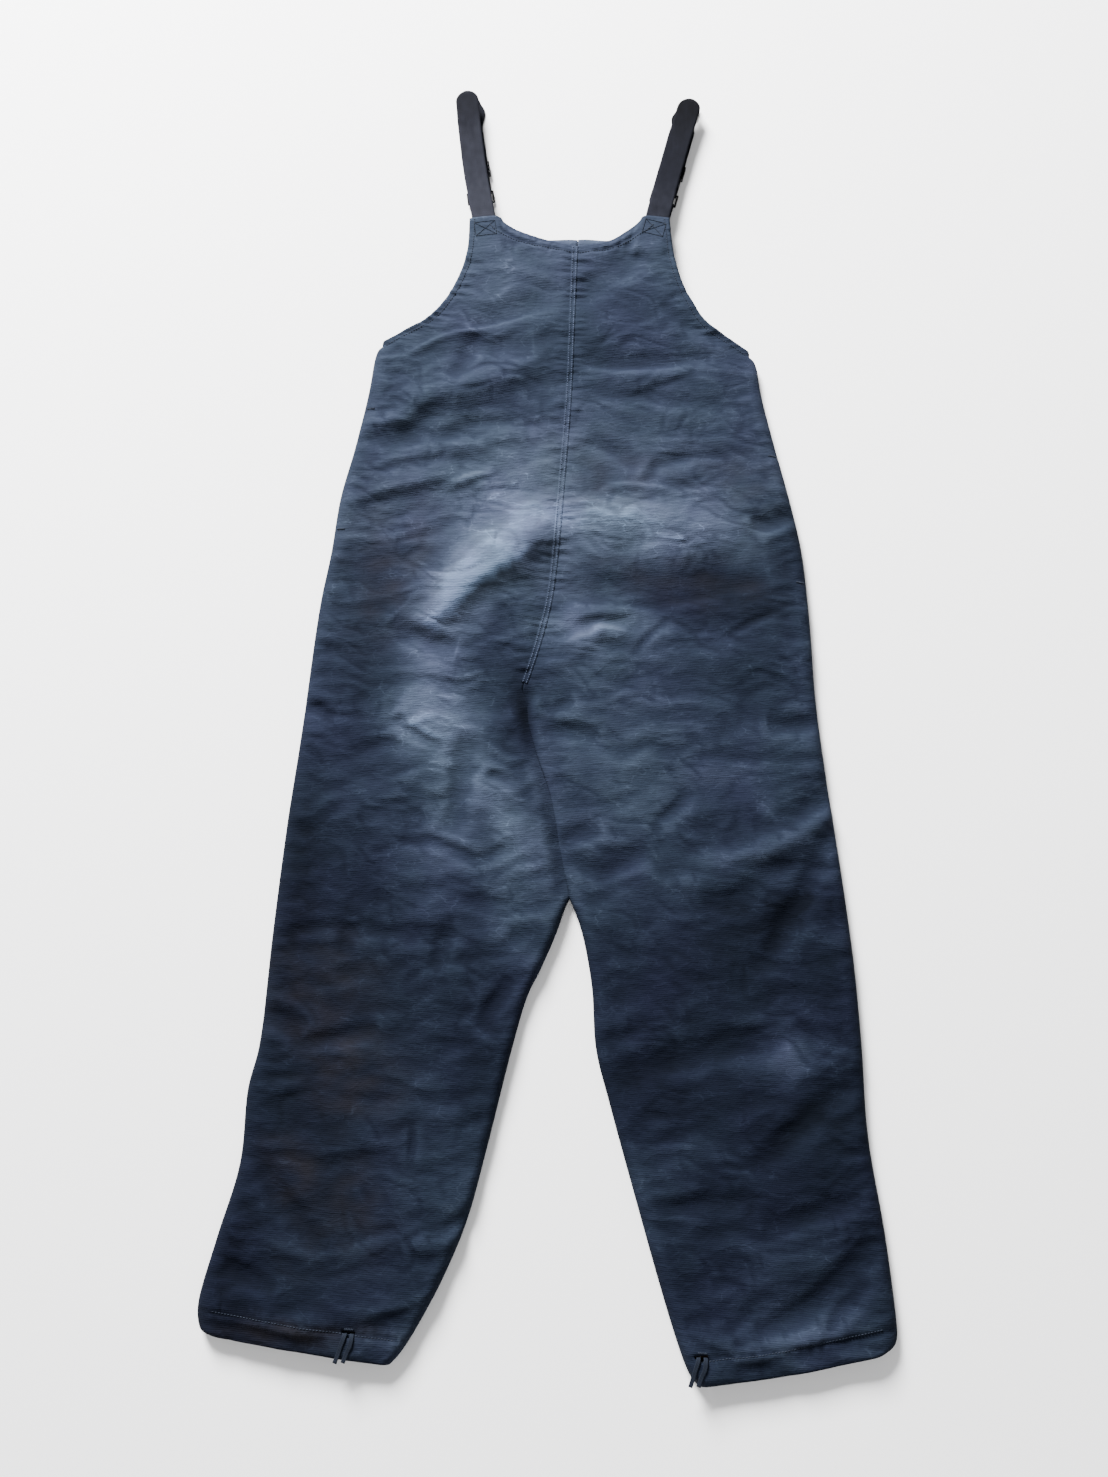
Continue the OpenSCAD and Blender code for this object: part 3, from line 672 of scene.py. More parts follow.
def capsules(starts, ends, radius, sides=6):
    """One short rounded thread for each pair of points."""
    points, faces = [], []
    turn = np.arange(sides) * 2 * math.pi / sides
    for a, b in zip(np.asarray(starts), np.asarray(ends)):
        ahead = (b - a) / max(np.linalg.norm(b - a), 1e-6)
        side = np.cross(ahead, (0, 0, 1.0))
        side /= max(np.linalg.norm(side), 1e-6)
        up = np.cross(side, ahead)
        ring = np.cos(turn)[:, None] * side + np.sin(turn)[:, None] * up
        base = len(points) * sides
        middle = up * radius * 0.35
        for t, r in ((-0.02, 0.25), (0.1, 0.85), (0.5, 1), (0.9, 0.85), (1.02, 0.25)):
            lift = middle * (1 - (2 * t - 1) ** 2)
            points.append(a + (b - a) * t + lift + ring * radius * r)
        faces += ring_faces(5, sides, first=base)
    return np.concatenate(points), faces


# ---- Draw tape ends ----
# Both tape ends of each leg come up through the hem's eyelet and lie over the hem.
TAPE_W, END_T = 5, 1.2
END_ROUTE = {
    "a": [(-4, 0, -1.2), (-4, -1, 1), (-5, -5, 2.2), (-7, -12, 2), (-9, -20, 1.5), (-12, -30, 1.5)],
    "b": [(4, 0, -1.2), (4, -1, 1.2), (4, -5, 2.6), (3, -12, 2.4), (0, -19, 1.6), (-3, -29, 1.5)],
}
for half, name in NAME.items():
    for which, route in END_ROUTE.items():
        line = evenly(curve(route) + (*EYELET[half], LAY), 28)
        ahead = np.gradient(line, axis=0)
        across = unit(np.stack([-ahead[:, 1], ahead[:, 0], 0 * ahead[:, 0]], 1))
        points, faces, uv = ribbon(line, across, TAPE_W * 0.94, END_T)
        end = mesh_object(f"{name}_draw_tape_end_{which}", points, faces, TAPE, uv)
        fixed(end, f"{name}_tape_end_{which}")


# ---- Back cloth ----
ROWS = (150, 80, 192, 92)                       # leg, fork, seat and back, bib
FORK_ROW, SEAT_ROW, BIB_ROW = 150, 230, 422
FORK_Y, SEAT_Y = 68, 345                        # heights at which the side passes to fork and to seat rows
SEAM_LOW, BIB_Y, SEAM_TOP = 317, 745, 931       # heights on the seam
COLUMNS, ROLL = 92, 11                          # points across a half, and on each rolled edge
ROLL_UNDER = 50                                 # how far an edge rolls under, in degrees
ROLL_TURN = np.radians(np.linspace(-ROLL_UNDER, 90, ROLL))
INNER_R, OUTER_R, EDGE_BAND = 13, 16, 30        # radius of each rolled edge, width of an edge that isn't
CLOTH_T = 2.4
MID_Z, FLOOR_GAP = 8, 1.2                       # middle and bottom of a rolled edge
RIGHT_FORK_Z, LEFT_FORK_Z = 11, 8.5             # at the crotch the right leg lies on the left one
UNDERARM_Z, OVER_STRAP_Z = 11, 21.8


def edges_of(half):
    """Inner and outer edge of one half, row by row, and how far each row is leg, fork or rolled side."""
    leg, side = LEG[half], SIDE[half]
    levels = (side[0, 1], FORK_Y, SEAT_Y, side[-1, 1])
    rise = np.maximum.accumulate(side[:, 1]) + np.arange(len(side)) * 1e-6
    whole = np.stack([side[:, 0], rise], 1)
    inner = [leg, FORK, between(SEAM, SEAM_LOW, BIB_Y), between(SEAM, BIB_Y, SEAM_TOP)]
    outer = [between(whole, a, b) for a, b in zip(levels, levels[1:])] + [ARM[half]]
    lines = [[], []]
    for k, count in enumerate(ROWS):
        last = k == len(ROWS) - 1
        for line, part in zip(lines, (inner[k], outer[k])):
            line.append(evenly(part, count + (0 if last else 1))[:None if last else -1])
    inner, outer = np.vstack(lines[0]), np.vstack(lines[1])
    row = np.arange(len(inner))
    above_leg = smoothstep(FORK_ROW - 6, FORK_ROW + 10, row)
    fork = above_leg * (1 - smoothstep(SEAT_ROW - 14, SEAT_ROW + 2, row))
    side_roll = 1 - smoothstep(BIB_ROW - 7, BIB_ROW + 2, row)
    return inner, outer, 1 - above_leg, fork, side_roll


def fill(half, inner, outer, u, step=1):
    """Flat points at shares u of the way from edge to edge, eased onto the hem and the neckline."""
    flat = inner[:, None] * (1 - u[..., None]) + outer[:, None] * u[..., None]
    rows = np.arange(len(flat))
    for line, at_row, spread in ((HEM[half], 0, 12 / step), (NECK[half], rows[-1], 16 / step)):
        at = distances(line) / distances(line)[-1]
        want = np.stack([np.interp(u[at_row], at, column) for column in line.T], 1)
        flat += bell(rows - at_row, spread)[:, None, None] * (want - flat[at_row])
    return flat


def lay_half(half):
    """Grid of the back cloth of one half: rows from hem to neckline, columns from seam to side."""
    inner, outer, legs, fork, side_roll = edges_of(half)
    rows = len(inner)
    if half == LEFT:
        inner = inner + fork[:, None] * (14, 0)
    reach = np.linalg.norm(outer - inner, axis=1)
    inner_roll = legs if half == LEFT else np.clip(legs + fork, 0, 1)
    k = np.arange(ROLL) / (ROLL - 1)
    turned = 1 - np.cos(ROLL_TURN)

    def band(radius, amount):
        amount = amount[:, None]
        return k * EDGE_BAND * (1 - amount) + radius * amount * turned * amount

    near, far = band(INNER_R, inner_roll), band(OUTER_R, side_roll)[:, ::-1]
    start, stop = near[:, -1], reach - far[:, 0]
    inside = COLUMNS - 2 * ROLL
    t = (np.arange(inside) + 1) / (inside + 1)
    offset = np.concatenate([near, start[:, None] + (stop - start)[:, None] * t, reach[:, None] - far], 1)
    flat = fill(half, inner, outer, offset / reach[:, None])
    x, y = flat[..., 0], flat[..., 1]
    z = height(x, y)
    z += edge_puckers(half, flat, offset, reach)
    z = drop_at_edges(half, z, flat, offset, fork)
    for amount, columns, order in ((inner_roll, slice(0, ROLL), 1), (side_roll, slice(-ROLL, None), -1)):
        s = np.sin(ROLL_TURN)[::order]
        edge = z[:, columns]
        lowest = np.full(rows, FLOOR_GAP)
        if half == RIGHT and order == 1:
            lowest = FLOOR_GAP + (RIGHT_FORK_Z - FLOOR_GAP) * fork
        middle = np.maximum(MID_Z, lowest + 3)[:, None]
        below = middle + (middle - lowest[:, None]) * s / math.sin(math.radians(ROLL_UNDER))
        rolled = np.where(s > 0, middle + (edge - middle) * s, below)
        z[:, columns] = edge + (rolled - edge) * amount[:, None]
    c, s = math.cos(LEAN[half]), math.sin(LEAN[half])
    dx, dy = x - CORNER[half][0], y - CORNER[half][1]
    beside, along = dx * c + dy * s, dy * c - dx * s
    underarm = np.hypot(x - ARM[half][0, 0], y - ARM[half][0, 1])
    z = z - (z - UNDERARM_Z) * 0.75 * bell(underarm, 26) * (z > UNDERARM_Z)
    over_strap = (1 - smoothstep(15, 26, np.abs(beside))) * smoothstep(-66, -47, along)
    z = z + over_strap * (np.maximum(z, OVER_STRAP_Z) - z)
    return np.dstack([flat, z])


def edge_puckers(half, flat, offset, reach):
    """Short ripples and a groove that the stitching pulls in along each sewn edge."""
    x, y = flat[..., 0], flat[..., 1]
    row = np.arange(len(flat))[:, None]
    total = np.zeros_like(x)
    seam_row = smoothstep(SEAT_ROW - 10, SEAT_ROW + 14, row)
    ripple = noise(y / 5.2 + half * 9, offset / 34, 11) + 0.5 * noise(y / 9 + half * 5, offset / 40, 18)
    total += seam_row * 1.5 * ripple * bell(offset - 8, 13)
    total -= seam_row * 1.2 * bell(offset, 8)
    arm_row = smoothstep(BIB_ROW - 12, BIB_ROW + 2, row)
    gap = reach[:, None] - offset
    run = distances(flat[:, -1])[:, None]
    ripple = noise(run / 6, gap / 34, 12 + half) + 0.6 * noise(run / 12, gap / 40, 19 + half)
    total += arm_row * 1.5 * ripple * bell(gap - 9, 17)
    total -= arm_row * 0.9 * bell(gap - 8, 2.2)
    down = flat[-1:, :, 1] - y
    total += 1.6 * (np.abs(noise(x / 10, down / 26, 15)) - 0.26) * bell(down - 9, 12)
    total -= 1.5 * bell(down - 10 - 10 * (offset / reach[:, None]) ** 2, 2.4)
    up = y - flat[:1, :, 1]
    total += 1.5 * (np.abs(noise(x / 13, up / 30, 16)) - 0.26) * bell(up - 27, 12)
    total -= 1.5 * bell(up - 27, 2.2)
    side = np.abs(noise(y / 21, gap / 60, 17 + half)) - 0.25
    total += (1 - arm_row) * 2.6 * side * bell(gap - 14, 20)
    return total


def drop_at_edges(half, z, flat, offset, fork):
    """The cloth sinks at its open edges, and the left leg runs down under the right one."""
    z = z - 1.6 * bell(flat[-1:, :, 1] - flat[..., 1], 5)
    z = z - 1.2 * bell(flat[..., 1] - flat[:1, :, 1], 4)
    if half == LEFT:
        under = fork[:, None] * (1 - smoothstep(6, 34, offset))
        z = z * (1 - under) + LEFT_FORK_Z * under
    return z


def normals_of(grid):
    du, dv = np.gradient(grid, axis=1), np.gradient(grid, axis=0)
    n = unit(np.cross(du, dv))
    return n * np.sign(n[len(n) // 2, n.shape[1] // 2, 2])


# Fade of the dye mixed with painted shade and light, 0 darkest: first along the garment, darker on the legs,
# then (x, y, half width, half height, turn, amount); many of these paint shade into fold valleys and beside
# the crotch edge, and light onto raised folds and the seat.
TONE_ALONG = (
    (-460, -300, -150, 0, 100, 200, 300, 400, 480, 560, 650, 760, 930),
    (0.32, 0.22, 0.20, 0.26, 0.33, 0.40, 0.44, 0.46, 0.46, 0.52, 0.47, 0.48, 0.56),
)
FADE_AND_SHADE = [
    (100, 548, 118, 40, 0, 0.34), (60, 402, 78, 20, 6, 0.30), (-62, 512, 75, 60, 35, 0.36),
    (-95, 440, 50, 50, 30, 0.20), (-190, 560, 80, 45, 15, 0.12), (-130, 272, 62, 48, -30, 0.36),
    (-110, 195, 70, 80, 0, 0.14), (-30, 190, 36, 110, 10, 0.18), (100, 200, 90, 120, 0, 0.14),
    (260, 130, 120, 40, 25, 0.16), (250, 400, 70, 120, 0, -0.14), (190, 462, 120, 26, 8, -0.12),
    (-60, -250, 45, 170, 20, 0.14), (330, -400, 90, 36, 15, 0.22), (-110, -432, 70, 28, 10, 0.14),
    (330, -60, 90, 180, 0, -0.08), (-230, -250, 80, 130, 0, -0.07), (-80, 860, 90, 60, 0, 0.12),
    (-60, 645, 80, 60, 0, 0.10), (90, 640, 90, 50, 0, 0.08), (20, 600, 50, 130, 0, 0.08),
    (-230, 330, 60, 120, 0, -0.10), (-180, 60, 60, 100, 0, -0.08),
    (-136, 424, 69, 40, 40, 0.24), (-46, 430, 25, 44, -20, -0.15), (-45, 314, 34, 73, 0, -0.22),
    (-129, 353, 47, 48, 0, 0.20), (51, 447, 57, 14, 4, 0.10), (220, 446, 87, 34, 8, -0.14),
    (56, 370, 68, 26, 8, 0.12), (213, 527, 76, 35, 0, 0.10), (311, 534, 35, 53, 0, -0.18),
    (225, 227, 67, 22, 20, 0.16), (232, 153, 72, 24, 18, -0.16), (306, 80, 71, 30, 15, -0.22),
    (311, -103, 60, 28, 20, 0.26), (325, -184, 46, 22, 15, -0.14), (218, -205, 68, 28, 12, 0.17),
    (162, -270, 31, 48, 0, 0.17), (318, -312, 56, 25, 18, 0.17), (-22, 128, 33, 72, 0, 0.20),
    (-14, 24, 33, 69, 12, 0.18), (-109, 122, 36, 60, 0, 0.14), (-274, 77, 36, 141, 5, -0.14),
    (-299, -391, 33, 64, 0, -0.16), (-120, -263, 68, 128, 12, 0.10), (-49, 606, 66, 46, 0, 0.12),
    (-237, 577, 51, 35, 0, -0.12), (-67, 672, 39, 42, 0, -0.08), (15, 805, 79, 86, 0, -0.10),
    (111, 856, 79, 44, 0, -0.10), (-114, 53, 47, 70, 0, 0.07), (-30, 290, 10, 40, 10, -0.2),
    (-4, 205, 9, 60, 18, -0.16), (16, -253, 34, 85, 12, 0.06),
    (-36, 285, 22, 50, 8, -0.16), (-140, 428, 40, 26, 38, 0.14), (-290, 90, 34, 150, 4, -0.12),
    (-215, 310, 40, 120, 0, -0.10), (-215, 417, 34, 40, 0, -0.10), (299, 540, 40, 40, 0, -0.10),
    (316, -85, 40, 60, 8, 0.18), (314, 82, 34, 40, 0, -0.14), (225, 8, 60, 34, 6, -0.12),
    (170, -132, 60, 34, 0, -0.10), (34, 515, 40, 24, 0, 0.14), (29, 600, 40, 34, 0, -0.14),
    (45, 64, 36, 36, 0, 0.14), (-300, -385, 40, 60, 0, -0.10), (-216, -416, 40, 30, 0, -0.10),
    (20, -15, 24, 30, 0, 0.12),
]
STAIN = [
    (-185, -150, 55, 45, -35, 0.26), (-255, -265, 22, 30, 0, 0.26), (-240, -60, 60, 60, 0, 0.16),
    (40, 600, 90, 60, 0, 0.16), (150, 480, 120, 40, 0, 0.14), (-230, -430, 90, 16, 4, 0.35),
    (-180, -300, 50, 50, 0, 0.2), (-200, 470, 60, 90, 0, 0.2), (230, 600, 60, 60, 0, 0.12),
]
BASE_FADE = 0.36


def wear_and_shade_of(grid):
    """How faded, stained and rubbed the cloth is at each point; the fade also carries painted shade in fold
    valleys and painted light on raised folds.
    """
    x, y, z = grid[..., 0], grid[..., 1], grid[..., 2]
    wx, wy = x + 26 * noise(x / 90, y / 80, 21), y + 22 * noise(x / 80, y / 70, 22)
    # painted shade and light from the tables join the dye's fade here
    fade_and_shade = np.interp(wy, *TONE_ALONG) + blobs(wx, wy, FADE_AND_SHADE) + 0.03 * noise(x / 45, y / 22, 23)
    stain = np.clip(blobs(wx, wy, STAIN) * (0.8 + 0.8 * noise(x / 30, y / 20, 24)), 0, 0.8)
    soft = z.copy()
    for _ in range(6):
        soft[1:-1, 1:-1] = (soft[:-2, 1:-1] + soft[2:, 1:-1] + soft[1:-1, :-2] + soft[1:-1, 2:]) / 4
    crest = np.clip((z - soft) / 0.6, -0.6, 1)
    column = np.arange(z.shape[1])
    crest *= smoothstep(2, 16, np.minimum(column, column[::-1]))
    return {"fade_and_shade": fade_and_shade, "stain": stain, "crest": crest}


def slit_cells(half, grid):
    """Cells of the rolled side that the side slit leaves out."""
    low, high = SLIT[half]
    y = grid[:-1, -1, 1]
    keep = np.ones((len(grid) - 1, grid.shape[1] - 1), bool)
    rows = np.nonzero((y > low) & (y < high))[0]
    first = grid.shape[1] - ROLL + int(np.argmin(np.abs(np.degrees(ROLL_TURN[::-1]) - 6)))
    keep[rows[0]:rows[-1] + 1, first:first + 1] = False
    return keep, (rows[0], rows[-1] + 1, first)


def eyelet_cells(half, grid, keep):
    """Cells of the hem that the eyelet leaves out."""
    middle = (grid[1:, 1:, :2] + grid[:-1, :-1, :2]) / 2
    gap = np.abs(middle - EYELET[half])
    keep[(gap[..., 0] < 7) & (gap[..., 1] < 3)] = False
    return keep


back, lay_grid = {}, {}
for half, name in NAME.items():
    grid = lay_half(half)
    keep = eyelet_cells(half, grid, slit_cells(half, grid)[0])
    under = grid - normals_of(grid) * CLOTH_T
    under[..., 2] = np.maximum(under[..., 2], 0.3)
    sheet = thick_sheet(f"{name}_back_cloth", grid, under, SHELL, grid[..., :2], wear_and_shade_of(grid),
                        keep)
    back[half] = fixed(sheet, *[f"{name}_{part}" for part in ("back_panel", "side_seam", "inseam")])
    lay_grid[half] = grid


# ---- Surface lookup ----
def surface_of(grids):
    """Tree of the top of both back cloths, for setting stitches on them."""
    points, faces = [], []
    for grid in grids:
        faces += (grid_cells(*grid.shape[:2]).reshape(-1, 4) + len(points)).tolist()
        points += grid.reshape(-1, 3).tolist()
    return BVHTree.FromPolygons(points, faces)


SURFACE = surface_of(lay_grid.values())


def drape(points, lift=0.0):
    """Points lowered onto the back cloth, then raised by lift."""
    out = []
    for x, y in np.asarray(points)[:, :2]:
        hit = SURFACE.ray_cast(Vector((x, y, 100)), Vector((0, 0, -1)))[0]
        out.append((x, y, (hit.z if hit else out[-1][2] - lift if out else LAY) + lift))
    return np.array(out)


def moved(line, d):
    """A line moved sideways by d, to its left."""
    ahead = unit(np.gradient(line[:, :2], axis=0))
    return line[:, :2] + d * np.stack([-ahead[:, 1], ahead[:, 0]], 1)


def stitches(lines, pitch, share, lift):
    """Start and end of each stitch along lines on the cloth."""
    starts, ends = [], []
    for line in lines:
        count = max(2, int(distances(line)[-1] / pitch))
        on = drape(evenly(line, count * 2 + 1), lift)
        first, middle = on[:-1:2], on[1::2]
        last = on[2::2]
        starts.append(first + (last - first) * (1 - share) / 2)
        ends.append(last - (last - first) * (1 - share) / 2)
    return np.vstack(starts), np.vstack(ends)


# ---- Centre-back seam ----
FELL_W, FELL_RISE, FELL_T = 8.4, 0.7, 1.6
spine = evenly(SEAM[SEAM[:, 1] > 322], 300)
fell_across = np.array([-1, -0.97, -0.7, -0.35, 0, 0.35, 0.7, 0.97, 1]) * FELL_W / 2
fell_up = np.array([0.1, 0.85, 1, 0.7, 0.55, 0.7, 1, 0.85, 0.1]) * FELL_RISE
fell_lines = [drape(moved(spine, d), rise) for d, rise in zip(fell_across, fell_up)]
fell_top = np.stack(fell_lines, 1)
fell_top[..., 2] += 0.25 * noise(fell_top[..., 1] / 5, fell_top[..., 0] / 9, 31)
seam_wear_and_shade = wear_and_shade_of(fell_top)
seam_wear_and_shade["fade_and_shade"] += 0.02
seam_wear_and_shade["crest"] = np.broadcast_to(np.abs(fell_across) / FELL_W, fell_top.shape[:2]) * 0.2
fell_under = fell_top - (0, 0, FELL_T)
fell = thick_sheet("back_seam_strip", fell_top, fell_under, SHELL, fell_top[..., :2], seam_wear_and_shade)
fixed(fell, "back_seam_fell")

seam_rows = [moved(spine, d) for d in (-2.3, 2.3)]
points, faces = capsules(*stitches(seam_rows, 3.3, 0.72, FELL_RISE - 0.1), 0.42)
fixed(mesh_object("back_seam_stitches", points, faces, THREAD), "back_seam_threads")

# ---- Edge stitches and bar tacks ----
ARM_IN, HEM_IN = 7, 27
NECK_IN = (10, 20)                              # at the seam and at the strap
edge_rows = []
for half in (LEFT, RIGHT):
    line = evenly(NECK[half][:-8], 60)
    in_by = NECK_IN[0] + (NECK_IN[1] - NECK_IN[0]) * np.linspace(0, 1, 60)[:, None] ** 2
    edge_rows.append(evenly(moved(line, -half * in_by), 120))
    edge_rows.append(evenly(moved(ARM[half], ARM_IN * half), 160))
    edge_rows.append(evenly(moved(HEM[half], HEM_IN * half), 160))
points, faces = capsules(*stitches(edge_rows, 3.6, 0.7, 0.25), 0.42)
fixed(mesh_object("edge_stitches", points, faces, DARK_THREAD), "edge_threads")


def zigzag(a, b, width, pitch=0.9):
    """A dense zigzag between two points, as a bar tack is sewn."""
    a, b = np.array(a, float), np.array(b, float)
    count = int(np.linalg.norm(b - a) / pitch)
    ahead = (b - a) / np.linalg.norm(b - a)
    side = np.array([-ahead[1], ahead[0]]) * width / 2
    return np.array([a + (b - a) * i / count + side * (1 if i % 2 else -1) for i in range(count + 1)])


def fold_at(half, y):
    """x of the side fold at a height."""
    side = SIDE[half]
    return np.interp(y, np.maximum.accumulate(side[:, 1]), side[:, 0])


tack_starts, tack_ends = [], []
for half in (LEFT, RIGHT):
    ex, ey = EYELET[half]
    bars = [((ex - 5, ey + 5), (ex + 5, ey + 5))]
    for y in (SLIT[half][0] - 10, SLIT[half][1] + 8):
        x = fold_at(half, y) - half * 9
        bars.append(((x - 5, y), (x + 5, y)))
    box = strap_space(half, [(-14, -7, 0), (14, -7, 0), (14, -27, 0), (-14, -27, 0)])[:, :2].tolist()
    for a, b in [*zip(box, box[1:] + box[:1]), (box[0], box[2]), (box[1], box[3])]:
        run = evenly(np.array([a, b], float), 17)
        on = drape(run, 0.3)
        tack_starts.append(on[:-1] + (on[1:] - on[:-1]) * 0.12)
        tack_ends.append(on[1:] - (on[1:] - on[:-1]) * 0.12)
    for a, b in bars:
        on = drape(zigzag(a, b, 2.2), 0.35)
        tack_starts.append(on[:-1])
        tack_ends.append(on[1:])
points, faces = capsules(np.vstack(tack_starts), np.vstack(tack_ends), 0.4)
fixed(mesh_object("bar_tack_stitches", points, faces, DARK_THREAD), "bar_tacks")


# ---- Layers under the back cloth ----
def plan_grid(half, step, columns, inset):
    """Flat points of one half, held in from its inner and outer edges by inset = (inner, outer)."""
    inner, outer = (line[::step] for line in edges_of(half)[:2])
    reach = np.linalg.norm(outer - inner, axis=1)[:, None]
    t = np.linspace(0, 1, columns)[None]
    u = (inset[0] + (reach - sum(inset)) * t) / reach
    return fill(half, inner, outer, u, step)


def plain_layers(shape, fade_and_shade):
    return {"fade_and_shade": np.full(shape, fade_and_shade), "stain": np.zeros(shape), "crest": np.zeros(shape)}


def layer(name, flat, top, thick, mat, replaced, lift=0.0):
    """A closed sheet over flat points. top is its upper height: a number or an array."""
    shape = flat.shape[:2]
    uneven = 0.2 * noise(flat[..., 0] / 45, flat[..., 1] / 35, 41)
    grid = np.dstack([flat, np.broadcast_to(top, shape) + uneven])
    under = grid - (0, 0, 1) * np.broadcast_to(thick, shape)[..., None]
    sheet = thick_sheet(name, grid, under, mat, flat, plain_layers(shape, BASE_FADE + lift))
    fixed(sheet, *replaced)


def drape_grid(flat):
    return drape(flat.reshape(-1, 2))[:, 2].reshape(flat.shape[:2])


def strip(line, near, far, half, columns=8):
    """Flat points of a band along an edge, from near to far inside it."""
    return np.stack([moved(line, d * half) for d in np.linspace(near, far, columns)], 1)


MOUTH, MOUTH_LOW, FLY = 7, 388, 20               # half widths of the front opening and of its facings


def open_front(flat, half, gap):
    """Moves the points of a front layer off the zip. Above the zip the two fronts meet."""
    out = half * (flat[..., 0] - ZIP_X)
    gap = np.where(flat[..., 1] > TAPE_TOP + 2, 0.2, gap)
    opened = gap + (out - out[:, :1]) * (60 - gap) / (60 - out[:, :1])
    beside = (flat[..., 1] > MOUTH_LOW) & (out < 60)
    flat[..., 0] = np.where(beside, ZIP_X + half * opened, flat[..., 0])


FRONT_TOP, FRONT_T = 2.7, 2.2
FRONT_PILE_TOP, BACK_PILE_LOW, BACK_PILE_T = 5.3, 5.8, 2.6
PILE_BELOW, BAND_BELOW = 3.7, 2.6                # how far pile and facings lie below the back cloth's top
FRONT_BAND_TOP, BAND_T = 3.7, 0.8
ZIP_CLEAR = 9.3                                  # the zip and its flap reach up to here
for half, name in NAME.items():
    flat = plan_grid(half, 3, 40, (3, 4))
    raised = 4 + 15 * bell(flat[..., 0] - ZIP_X, 44)
    flat[..., 1] += raised * smoothstep(880, 931, flat[..., 1])
    open_front(flat, half, MOUTH)
    layer(f"{name}_front_cloth", flat, FRONT_TOP, FRONT_T, SHELL, [f"{name}_front_panel"], 0.36)
    flat = plan_grid(half, 3, 44, (10, 17))[3:-9]
    open_front(flat, half, FLY + 1)
    layer(f"{name}_front_pile", flat, FRONT_PILE_TOP, FRONT_T, PILE, [f"{name}_front_lining"])
    flat = plan_grid(half, 3, 44, (9, 17))[3:-9]
    over_zip = (np.abs(flat[..., 0] - ZIP_X) < 34) & (flat[..., 1] > 380)
    low = np.where(over_zip, ZIP_CLEAR, BACK_PILE_LOW)
    top = np.maximum(drape_grid(flat) - PILE_BELOW, low + 0.6)
    thick = np.minimum(BACK_PILE_T, top - low)
    layer(f"{name}_back_pile", flat, top, thick, PILE, [f"{name}_back_lining"])

neck_line = evenly(np.vstack([NECK[LEFT][:-8][::-1], NECK[RIGHT][1:-8]]), 120)
flat = strip(neck_line, 2, 36, LEFT)
layer("back_neck_band", flat, drape_grid(flat) - BAND_BELOW, BAND_T, FACING, ["back_neck_facing"])
for half, name in NAME.items():
    flat = strip(evenly(NECK[half][:-8], 60) + (0, 4.5), 1, 36, -half)
    layer(f"{name}_neck_band", flat, FRONT_BAND_TOP, BAND_T, FACING, [f"{name}_neck_facing"], lift=0.1)
    flat = strip(evenly(ARM[half], 70), 1.5, 34, half)
    for side, top in (("back", drape_grid(flat) - BAND_BELOW), ("front", FRONT_BAND_TOP)):
        layer(f"{name}_{side}_armhole_band", flat, top, BAND_T, FACING, [f"{name}_{side}_armhole_facing"])


# ---- Bound slits, hems and draw tapes ----
def tube(path, across, up, sides=10):
    """A flattened tube round a closed path of garment points. across and up are its half sizes."""
    path = np.asarray(path, float)
    n = len(path)
    ahead = unit(np.roll(path, -1, 0) - np.roll(path, 1, 0))
    side = np.cross(ahead, (0, 0, 1.0))
    weak = np.linalg.norm(side, axis=1) < 0.2
    side[weak] = np.cross(ahead[weak], (1.0, 0, 0))
    side = unit(side)
    rise = np.cross(side, ahead)
    turn = np.arange(sides) * 2 * math.pi / sides
    rings = path[:, None] + np.cos(turn)[:, None] * side[:, None] * across \
        + np.sin(turn)[:, None] * rise[:, None] * up
    uv = np.stack(np.broadcast_arrays(turn[None] * 2, np.arange(n)[:, None] * 3.0), -1)
    return rings.reshape(-1, 3), ring_faces(n, sides, closed=True), uv.reshape(-1, 2)


for half, name in NAME.items():
    grid = lay_grid[half]
    _, (low, high, column) = slit_cells(half, grid)
    middle = grid - normals_of(grid) * CLOTH_T / 2
    loop = np.vstack([middle[low:high + 1:2, column], middle[low:high + 1:2, column + 1][::-1]])
    points, faces, uv = tube(loop, 1.2, 1.75)
    binding = mesh_object(f"{name}_slit_edge", points, faces, SHELL, uv,
                          plain_layers(len(points), BASE_FADE - 0.05))
    fixed(binding, f"{name}_slit_binding")


def turn_back(a, b, out):
    """Points of a half turn from a to b that swings out sideways."""
    t = np.linspace(0, math.pi, 9)[1:-1, None]
    return (a + b) / 2 + (a - b) / 2 * np.cos(t) + np.array([out, 0, 0]) * np.sin(t)


HEM_BAND = (1.5, 28.5)                          # its edges, from the hem upwards
for half, name in NAME.items():
    line = evenly(HEM[half], 90)[4:-8]
    flat = strip(line, *HEM_BAND, half, 9)
    points, faces = [], []
    for top in (drape_grid(flat) - 2.7, np.full(flat.shape[:2], 3.7)):
        sheet = np.dstack([flat, top])
        more, cells, _ = closed_sheet(sheet, sheet - (0, 0, 0.9))
        faces += [[number + len(points) for number in cell] for cell in cells]
        points += more.tolist()
    points = np.array(points)
    fixed(mesh_object(f"{name}_hem_band", points, faces, FACING, points[:, :2],
                      plain_layers(len(points), BASE_FADE)), f"{name}_hem_facing")

    channel = moved(line, 14 * half)[3:-3:2]
    over = np.column_stack([channel, drape_grid(channel[:, None])[:, 0] - 5.2])
    below = np.column_stack([channel, np.full(len(channel), 4.9)])[::-1]
    ends = (turn_back(over[-1], below[0], 6 * half), turn_back(below[-1], over[0], -6 * half))
    loop = np.vstack([over, ends[0], below, ends[1]])
    points, faces, uv = tube(loop, 2.5, 0.6)
    fixed(mesh_object(f"{name}_hem_tape", points, faces, TAPE, uv), f"{name}_draw_tape")


